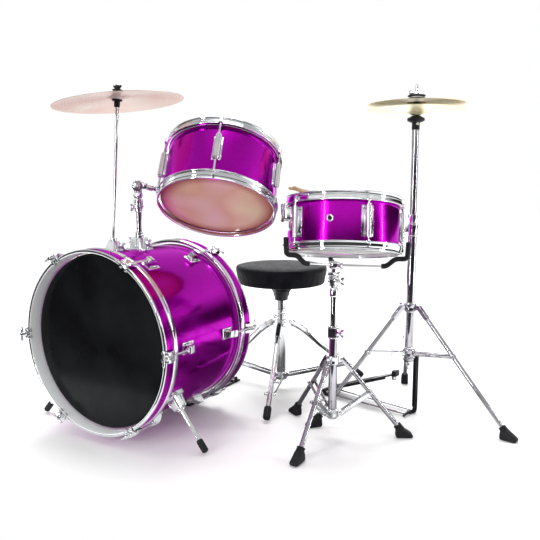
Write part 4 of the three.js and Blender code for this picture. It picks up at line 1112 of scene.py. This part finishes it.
def hi_hat():
    stand = HAT_STAND
    at = shift(*stand["centre"])
    tripod(stand, "tube")
    tube = ring([(8.5, 145), (10.4, 145), (11, 146), (11, 491), (8.5, 491)], 0.4, 40)
    build("hihat_tube_body", "kit_base", "tube", [tube], at, ["hihat_tube"])
    dark, bright = height_clamp(467, 498, 8.6, 200)
    bright.append(tube_ring(499, 520, 12.4, 8.6))
    build("hihat_clamp", "kit_base", "tube", dark, at)
    build("hihat_clamp_trim", "kit_base", "chrome", bright, at)
    build("hihat_foot_collar", "kit_base", "tube", collar(stand, "lower")
        + [ring([(8, 143), (13, 143), (14, 147), (14, 152), (8, 152)], 1, 36)], at)
    build("hihat_tube_collar_ring", "kit_base", "chrome", [tube_ring(176, 181, 12.6, 10.6)], at)
    top_z = stand["upper"][1]
    build("hihat_slide_collar", "hihat_collar", "tube", collar(stand, "upper"), at, ["hihat_collar"])
    build("hihat_slide_collar_trim", "hihat_collar", "chrome", moved([tube_ring(9, 12.4, 13.6, 11.4),
        tube_ring(-12.4, -9, 13.6, 11.4)] + side_screw(15, 0, 170, 4, 9), shift(0, 0, top_z)), at)
    upper = ring([(4.2, 310), (7.6, 310), (8, 312), (8, 728), (4.2, 728)], 0.5, 40)
    build("hihat_upper_tube_body", "hihat_upper_tube", "tube", [upper], at, ["hihat_upper_tube"])
    cup = [ring([(4.2, 727), (9.3, 727), (9.5, 729), (9.3, 744), (13, 745), (20, 748), (21.4, 751),
        (20.6, 755), (13, 758.6), (12.4, 760.4), (4.2, 760.6)], 0.9, 40)]
    build("hihat_seat_cup", "hihat_upper_tube", "rubber", cup, at)
    screw = moved([pin(1.8, 0, 9, 0.4), drum([(3, 7), (3, 11)], 0.6)],
        shift(0, 0, 748) @ spin(-60) @ shift(14, 0, 0) @ spin(150, "Y"))
    build("hihat_tilt_screw", "hihat_upper_tube", "chrome", screw, at)
    bottom, top = HAT_RIMS
    build("hihat_disc_bottom", "hihat_upper_tube", "gold_bronze", [cymbal(HAT).moved(flipped())],
        at @ shift(0, 0, bottom), ["hihat_bottom_cymbal"], 60)
    build("hihat_disc_top", "hihat_pull_rod", "gold_bronze", [cymbal(HAT)], at @ shift(0, 0, top),
        ["hihat_top_cymbal"], 60)
    spindle(at, top + HAT["bell"])
    hat_frame(at)
    hat_footboard()


def spindle(at, bell_top):
    rod = drum([(3, 122), (3, 833), (2.2, 837)], 0.8, 20)
    build("hihat_rod", "hihat_pull_rod", "chrome", [rod, drum([(6.6, 122), (7, 124), (7, 136)], 1),
        drum([(6.6, bell_top + 10.5), (7, bell_top + 18)], 0.8, 6), *side_screw(6, bell_top + 14.5, 205,
        3, 8)], at, ["hihat_pull_rod"])
    black = [drum([(21.4, bell_top + 0.5), (22, bell_top + 2.8)], 0.6, 40),
        drum(from_start(0, bell_top, (21, 6.6), (22, 8.4), (20, 10.4), (9, 11)), 0.8, 40),
        drum([(9, bell_top - 9), (9, bell_top - 6.4)], 0.5, 32)]
    build("hihat_clutch_discs", "hihat_pull_rod", "rubber", black, at)
    felt = [drum([(14.8, bell_top + 2.8), (15.4, bell_top + 4.6), (14.8, bell_top + 6.6)], 1, 36)]
    build("hihat_clutch_felt", "hihat_pull_rod", "felt", felt, at)


def hat_frame(at):
    """The flat bar from the lower collar to the floor with its hooked foot, the wires and the heel plate."""
    heel_r, heel_z = HAT_PEDAL["heel"]
    width = HAT_PEDAL["width"]
    stand = HAT_STAND
    bar_turn = spin((stand["headings"][0] + stand["headings"][1]) / 2)
    low = stand["lower"][1]
    channel = sweep(soft([(14, 0, low - 4), (24, 0, low - 4), (24.4, 0, low - 12), (24, 0, 14),
        (22, 0, 5), (12, 0, 3.6), (4, 0, 3.6)], 5, 5), rounded_box(14, 5.6, 1.6), side=Y_AXIS)
    lips = [block(7, 2, low - 34, (22.4, side * 6.4, low / 2 - 2), 0.7) for side in (-1, 1)]
    pedal_turn = spin(HAT_PEDAL["heading"])
    hook = bar([(-8, -31, 3.6), (-8, -26, 6.5), (-8, 0, 7.2), (-8, 26, 6.5), (-8, 31, 3.6)], 3.5, 14,
        bend=6)
    build("hihat_frame_bar", "kit_base", "black_metal", moved([channel, *lips], bar_turn) + moved([hook],
        pedal_turn), at)
    wires = [bar([(-6, side * 18, 6.2), (heel_r - 4, side * 24, 6.2)], 2.3, 14) for side in (-1, 1)]
    build("hihat_frame_wires", "kit_base", "chrome", moved(wires, pedal_turn), at)
    outline = [(heel_r - 14, -width / 2), (heel_r + 20, -width / 2 + 3), (heel_r + 26, -width / 2 + 14),
        (heel_r + 26, width / 2 - 14), (heel_r + 20, width / 2 - 3), (heel_r - 14, width / 2)]
    heel = plate(outline, 6.6, 1, 5).moved(shift(0, 0, 3.5))
    ears = [upright([(heel_r - 8, 2), (heel_r + 8, 2), (heel_r + 5, heel_z + 2.6),
        (heel_r - 5, heel_z + 2.6)], 4.6, 0.8, 3, side * (width / 2 - 2.6)) for side in (-1, 1)]
    grips = [block(2, width - 18, 1, (heel_r + 8 + 4.5 * k, 0, 7), 0.3) for k in range(4)]
    build("hihat_heel_plate", "kit_base", "black_metal", moved([heel, *ears, *grips], pedal_turn), at)


def hat_footboard():
    (heel_r, heel_z), (toe_r, toe_z) = HAT_PEDAL["heel"], HAT_PEDAL["toe"]
    x, y = HAT_STAND["centre"]
    place = shift(x, y, 0) @ spin(HAT_PEDAL["heading"]) @ shift(heel_r, 0, heel_z)
    toe = Vector((toe_r - heel_r, 0, toe_z - heel_z))
    slope = math.degrees(math.atan2(toe.z, -toe.x))
    length = toe.length
    board_turn = spin(180) @ spin(-slope, "Y")
    half = HAT_PEDAL["width"] / 2 - 7
    outline = [(2, -half), (length * 0.35, -half), (length * 0.8, -half * 0.86),
        (length - 6, -half * 0.55), (length, -half * 0.3), (length, half * 0.3),
        (length - 6, half * 0.55), (length * 0.8, half * 0.86), (length * 0.35, half), (2, half)]
    board = [plate(outline, 4.6, 1, 5)]
    board += [block(2.2, half * 1.5, 1.2, (24 + 11 * k, 0, 2.6), 0.4) for k in range(13)]
    board += [block(length - 30, 3, 5, (length / 2, side * (half * 0.8), -3.4), 0.8) for side in (-1, 1)]
    knuckle = bar([(0, -27.4, 0), (0, 27.4, 0)], 4, 20)
    link_x = toe_r - heel_r - 5
    link = [block(13, 20, 15, (link_x, 0, toe_z + 4 - heel_z), 2), block(7, 26, 7,
        (link_x + 1, 0, toe_z - 1 - heel_z), 1.5)]
    build("hihat_footboard_plate", "hihat_footboard", "black_metal",
        moved(board, board_turn) + [knuckle, *link], place, ["hihat_footboard"])
    knob = drum([(5, 0), (6, 2), (6, 9), (4.8, 11), (0, 11.4)], 0.8, 24)
    build("hihat_footboard_knob", "hihat_footboard", "chrome", [knob.moved(shift(link_x + 4, 0,
        toe_z - heel_z - 15))], place)


# ---- Throne ------------------------------------------------------------------------------------------


def cushion():
    """The seat pad: crowned top and pulled-in lower edge; creased() adds the shallow creases down its side
    and throne() the piping seam.
    """
    radius, low, top, bottom = SEAT["radius"], SEAT["low_radius"], SEAT["top"], SEAT["bottom"]
    outline = [(0, bottom + 0.6), (low - 10, bottom + 0.6), (low - 2.6, bottom + 1.6),
        (low - 0.4, bottom + 5), (low + 0.8, bottom + 12), (radius - 2.4, bottom + 25),
        (radius + 0.2, bottom + 40), (radius - 0.4, top - 9), (radius - 3, top - 4.2),
        (radius - 9, top - 2), (radius - 24, top - 1), (radius - 60, top - 0.4), (0, top)]
    fine = soft(outline, 3, 4)
    filled = [Vector(fine[0])]
    for point in fine[1:]:
        step = (point - filled[-1]).length
        pieces = max(1, round(step / 5))
        start = filled[-1].copy()
        filled += [start.lerp(point, (k + 1) / pieces) for k in range(pieces)]
    return lathe(filled, 220)


def creased(shape):
    """Creases where the vinyl is gathered under the seat, and a slightly uneven top."""
    bottom, top, radius = SEAT["bottom"], SEAT["top"], SEAT["radius"]
    gathers, crease, pucker, unevenness, lifted = 26, 1.6, 1.8, 0.8, 0.6
    points = []
    for x, y, z in shape.points:
        r = math.hypot(x, y)
        if r < 1e-6:
            points.append((x, y, z))
            continue
        angle = math.atan2(y, x)
        height = (z - bottom) / (top - bottom)
        side = max(0.0, min(1.0, (r - radius + 16) / 14))
        wander = 9 * noise.noise(Vector((math.cos(angle) * 2.2, math.sin(angle) * 2.2, height * 0.5)))
        gathered = math.sin(gathers * angle + wander) * 0.5 + 0.5
        pulled = max(0.0, noise.noise(Vector((math.cos(angle) * 1.4 + 5, math.sin(angle) * 1.4, 0)))
            + 0.35)
        depth = crease * side * (1 - height) ** 1.6 * gathered ** 3
        depth += pucker * side * pulled * math.sin(math.pi * height) * gathered ** 4
        depth += unevenness * side * (0.5 + 0.5 * noise.noise(Vector((x * 0.035, y * 0.035, z * 0.05))))
        lift = lifted * noise.noise(Vector((x * 0.02, y * 0.02, 3))) if height > 0.9 else 0
        share = (r - depth) / r
        points.append((x * share, y * share, z + lift - 0.5 * (height > 0.9)))
    return Shape(points, shape.faces)


def throne():
    stand = THRONE
    at = shift(*stand["centre"])
    tripod(stand, "chrome", shouldered=True)
    low_z, high_z = 30, 240
    tube = ring([(11.2, low_z), (12.6, low_z), (13, low_z + 1), (13, high_z - 1), (12.4, high_z),
        (11.2, high_z)], 0.4, 44)
    nut = ring([(11.8, 226), (15, 226), (15.6, 228), (15.6, 238), (14.6, 240), (11.8, 240)], 0.8, 12)
    screw = side_screw(15, 219, -110, 5, 11)
    build("throne_tube_body", "throne_tube", "chrome", [tube, *collar(stand, "upper"), nut, *screw], at,
        ["throne_tube"])
    build("throne_slide_collar", "throne_collar", "chrome", collar(stand, "lower"), at, ["throne_collar"])
    boss_low = SEAT["bottom"] - SEAT["boss"]
    post = drum([(9.6, 90), (10.8, 92), (10.8, boss_low - 0.4)], 0.6, 40)
    build("throne_post_tube", "throne_post", "tube", [post], at, ["throne_post"])
    holes = [ring([(1.2, -0.4), (2, -0.4), (2, 0.2), (1.2, 0.2)], 0.1, 20).moved(outward(-60, 10.7, z))
        for z in (247, 257)]
    build("throne_post_height_holes", "throne_post", "chrome", holes, at)
    pad = build("throne_cushion", "throne_seat", "vinyl", [creased(cushion())], at, ["throne_seat"], 70)
    radius, bottom, top = SEAT["radius"], SEAT["bottom"], SEAT["top"]
    piping = lathe([(radius - 2.2 + 1.3 * math.cos(a), top - 6.4 + 1.3 * math.sin(a))
        for a in (math.tau * k / 10 for k in range(10))], 180, closed=True)
    build("throne_piping", "throne_seat", "vinyl", [piping], at, (), 70)
    base = drum([(radius - 18, bottom - 0.2), (radius - 15, bottom + 1.2)], 0.5, 96)
    staples = around(36, 0, [block(1, 9, 0.8, (radius - 24, 0, bottom - 0.3), 0.2)])
    build("throne_seat_board", "throne_seat", "black_metal", [base, *staples], at)
    boss = drum([(17.4, boss_low), (19.5, boss_low + 2), (19.5, boss_low + 15), (21, boss_low + 26),
        (30, bottom - 9), (38.5, bottom - 2), (40, bottom)], 1.5, 44)
    ribs = around(4, 20, [upright([(17, boss_low + 8), (21.4, boss_low + 12), (24, boss_low + 24),
        (39.5, bottom - 3), (39.5, bottom), (17, bottom)], 3, 0.6)])
    build("throne_boss", "throne_seat", "black_metal", [boss, *ribs], at)


# ---- Bass pedal --------------------------------------------------------------------------------------


def bass_pedal():
    post_x, post_y = PEDAL["post"]
    heel_y, heel_z = PEDAL["heel"]
    axle = PEDAL["axle"]
    frame_parts = [block(2 * post_x + 16, 62, 5.6, (0, post_y - 20, 3), 1.4),
        block(24, 18, 12.6, (0, BASS["depth"] - 16, 11), 2)]
    for side in (-1, 1):
        x = side * post_x
        frame_parts.append(pillar([(2, 15, 22, 3), (10, 12, 16, 3), (60, 9.6, 12, 3),
            (axle - 14, 9.6, 12, 3), (axle - 8, 10, 15, 4), (axle + 5, 10, 15, 4),
            (axle + 8, 8, 12, 3)]).moved(shift(x, post_y, 0)))
        frame_parts.append(bar([(x, post_y, 2.9), (x, heel_y, 2.9)], 2.8, 14))
        frame_parts.append(upright([(-7, 1), (7, 1), (5, heel_z + 3.6), (-5, heel_z + 3.6)], 4.8, 0.8,
            3).moved(shift(x, heel_y, 0) @ spin(90)))
    frame_parts.append(block(2 * post_x + 6, 26, 5.6, (0, heel_y + 6, 3), 1.4))
    build("pedal_frame_casting", "kit_base", "black_metal", frame_parts, shift(), ["pedal_frame"])
    toe_y, toe_z = PEDAL["toe"]
    slope = math.degrees(math.atan2(toe_z - heel_z, heel_y - toe_y))
    length = math.hypot(toe_z - heel_z, heel_y - toe_y) - 6
    outline = [(-26, -2), (26, -2), (26, -length * 0.6), (19, -length + 6), (12, -length - 1),
        (-12, -length - 1), (-19, -length + 6), (-26, -length * 0.6)]
    board = [plate(outline, 4.6, 1, 4)]
    board += [block(34, 3, 1.2, (0, -24 - 12 * k, 2.6), 0.4) for k in range(11)]
    turn = shift(0, 0, 1) @ spin(-slope, "X")
    knuckle = bar([(-31, 0, 0), (31, 0, 0)], 4, 20)
    build("pedal_footboard_plate", "pedal_footboard", "chrome", moved(board, turn) + [knuckle],
        shift(0, heel_y, heel_z), ["pedal_footboard"])
    place = shift(0, post_y, axle)
    along = Vector((0, math.sin(math.radians(PEDAL["lean"])), math.cos(math.radians(PEDAL["lean"]))))
    reach = PEDAL["beater"]
    cam = lathe(soft([(4, -7), (12, -7), (12.6, -4), (10, 0), (12.6, 4), (12, 7), (4, 7)], 0.8,
        closed=True), 32, closed=True)
    arms = [bar([(-28.6, 0, 0), (28.6, 0, 0)], 5, 20), cam.moved(spin(90, "Y")),
        bar([along * 0, along * reach], 3, 16), bar([along * -9, along * 9], 6, 20)]
    build("pedal_beater_shaft", "pedal_beater", "chrome", arms, place, ["pedal_beater"])
    ball = lathe(soft([(0, -16), (12, -16), (17, -11), (18, 0), (17, 11), (12, 16), (0, 16)], 4, 5), 36)
    build("pedal_beater_felt", "pedal_beater", "felt", [ball.moved(aimed(along * reach, along))], place)


# ---- Studio ------------------------------------------------------------------------------------------

CAMERA_AT = Vector((0.7546, -1.3833, 0.5935))
CAMERA_TURN = (math.radians(90 - 7.79), 0, math.radians(30.32))
FLOOR_FRONT = -0.65
FLOOR_REACH = 12
FLOOR_DROP = 0.0005


def studio():
    scene = bpy.context.scene
    scene.view_settings.view_transform = "Standard"
    camera_data = bpy.data.cameras.new("camera")
    camera_data.lens = 41.56
    camera_data.sensor_width = 36
    camera = in_scene("camera", camera_data)
    camera.location = CAMERA_AT
    camera.rotation_euler = CAMERA_TURN
    scene.camera = camera
    floor_mesh = bpy.data.meshes.new("floor")
    corners = [(-FLOOR_REACH, FLOOR_FRONT, 0), (FLOOR_REACH, FLOOR_FRONT, 0),
        (FLOOR_REACH, FLOOR_REACH, 0), (-FLOOR_REACH, FLOOR_REACH, 0)]
    floor_mesh.from_pydata(corners, [], [(0, 1, 2, 3)])
    floor = in_scene("floor", floor_mesh)
    look = Look("studio_floor", roughness=0.7)
    paper = look.ramp(look.noise(900, 2), (0.3, 0.90), (0.7, 0.93))
    # painted shade: where reflections see the floor near the bass drum, it is painted dark grey
    painted_shade_spot = look.node("ShaderNodeTexGradient", gradient_type="SPHERICAL")
    look.link(look.scaled(1.7, 1.7, 0.01, (0.0, 0.24)), painted_shade_spot.inputs["Vector"])
    shade = look.ramp(painted_shade_spot.outputs["Fac"], (0.0, 0.0), (0.45, 1.0))
    reflected = look.node("ShaderNodeMath", operation="MULTIPLY")
    look.link(shade, reflected.inputs[0])
    look.link(look.node("ShaderNodeLightPath").outputs["Is Glossy Ray"], reflected.inputs[1])
    look.colour(look.mixed(reflected.outputs[0], paper, (0.10, 0.10, 0.10)))
    floor_mesh.materials.append(look.material)
    floor.location.z = -FLOOR_DROP
    sun_data = bpy.data.lights.new("soft_sun", "SUN")
    sun_data.energy = 2.3
    sun_data.angle = math.radians(40)
    sun = in_scene("soft_sun", sun_data)
    sun.rotation_euler = (math.radians(-20), math.radians(-12), 0)
    for name, at, target, width, height, power in (("front_strip", (-0.6, -3.0, 0.95), (0, 0, 0.5), 0.14,
            1.8, 28), ("left_box", (-3.0, -1.0, 1.1), (0, 0, 0.4), 0.7, 1.8, 7),
            ("right_strip", (2.8, 0.8, 0.9), (0, 0, 0.5), 0.12, 1.8, 24),
            ("overhead", (0.1, 0.1, 2.6), (0, 0, 0), 1.6, 1.4, 12), ("low_panel", (-0.9, 2.1, 0.5),
            (0, 0, 0.6), 1.8, 0.8, 10), ("front_fill", (0.4, -3.0, 1.0), (0, 0, 0.3), 1.5, 1.5, 36)):
        data = bpy.data.lights.new(name, "AREA")
        data.shape = "RECTANGLE"
        data.size, data.size_y = width, height
        data.energy = power
        lamp = in_scene(name, data)
        lamp.location = at
        lamp.rotation_euler = (Vector(target) - Vector(at)).to_track_quat("-Z", "Y").to_euler()
        lamp.visible_camera = False
        lamp.visible_glossy = name != "front_fill"
    sky(scene)


def sky(scene):
    """A white backdrop for the camera; everything else sees a studio with a pale ceiling and dark walls."""
    world = bpy.data.worlds.new("studio")
    scene.world = world
    world.use_nodes = True
    tree = world.node_tree
    nodes, links = tree.nodes, tree.links
    nodes.clear()
    split = nodes.new("ShaderNodeSeparateXYZ")
    links.new(nodes.new("ShaderNodeTexCoord").outputs["Generated"], split.inputs[0])

    def graded(axis, stops):
        spread = nodes.new("ShaderNodeMapRange")
        spread.inputs["From Min"].default_value = -1
        links.new(split.outputs[axis], spread.inputs["Value"])
        ramp = nodes.new("ShaderNodeValToRGB")
        set_stops(ramp, stops)
        links.new(spread.outputs["Result"], ramp.inputs["Fac"])
        return ramp.outputs["Color"]

    ceiling = graded("Z", ((0.0, 0.05), (0.42, 0.015), (0.5, 0.012), (0.58, 0.03), (0.68, 0.85),
        (0.80, 0.6), (0.93, 0.45), (1.0, 0.9)))
    front = graded("Y", ((0.0, 0.04), (0.3, 0.02), (0.5, 0.0), (1.0, 0.0)))
    added = nodes.new("ShaderNodeMix")
    added.data_type = "RGBA"
    added.blend_type = "ADD"
    added.inputs[0].default_value = 1
    links.new(ceiling, added.inputs[6])
    links.new(front, added.inputs[7])
    walls = nodes.new("ShaderNodeBackground")
    links.new(added.outputs[2], walls.inputs["Color"])
    backdrop = nodes.new("ShaderNodeBackground")
    backdrop.inputs["Color"].default_value = (1, 1, 1, 1)
    seen = nodes.new("ShaderNodeLightPath")
    mix = nodes.new("ShaderNodeMixShader")
    links.new(seen.outputs["Is Camera Ray"], mix.inputs[0])
    links.new(walls.outputs[0], mix.inputs[1])
    links.new(backdrop.outputs[0], mix.inputs[2])
    output = nodes.new("ShaderNodeOutputWorld")
    links.new(mix.outputs[0], output.inputs["Surface"])


studio()
bass_drum()
tom()
snare_drum()
crash()
snare_stand()
hi_hat()
throne()
bass_pedal()
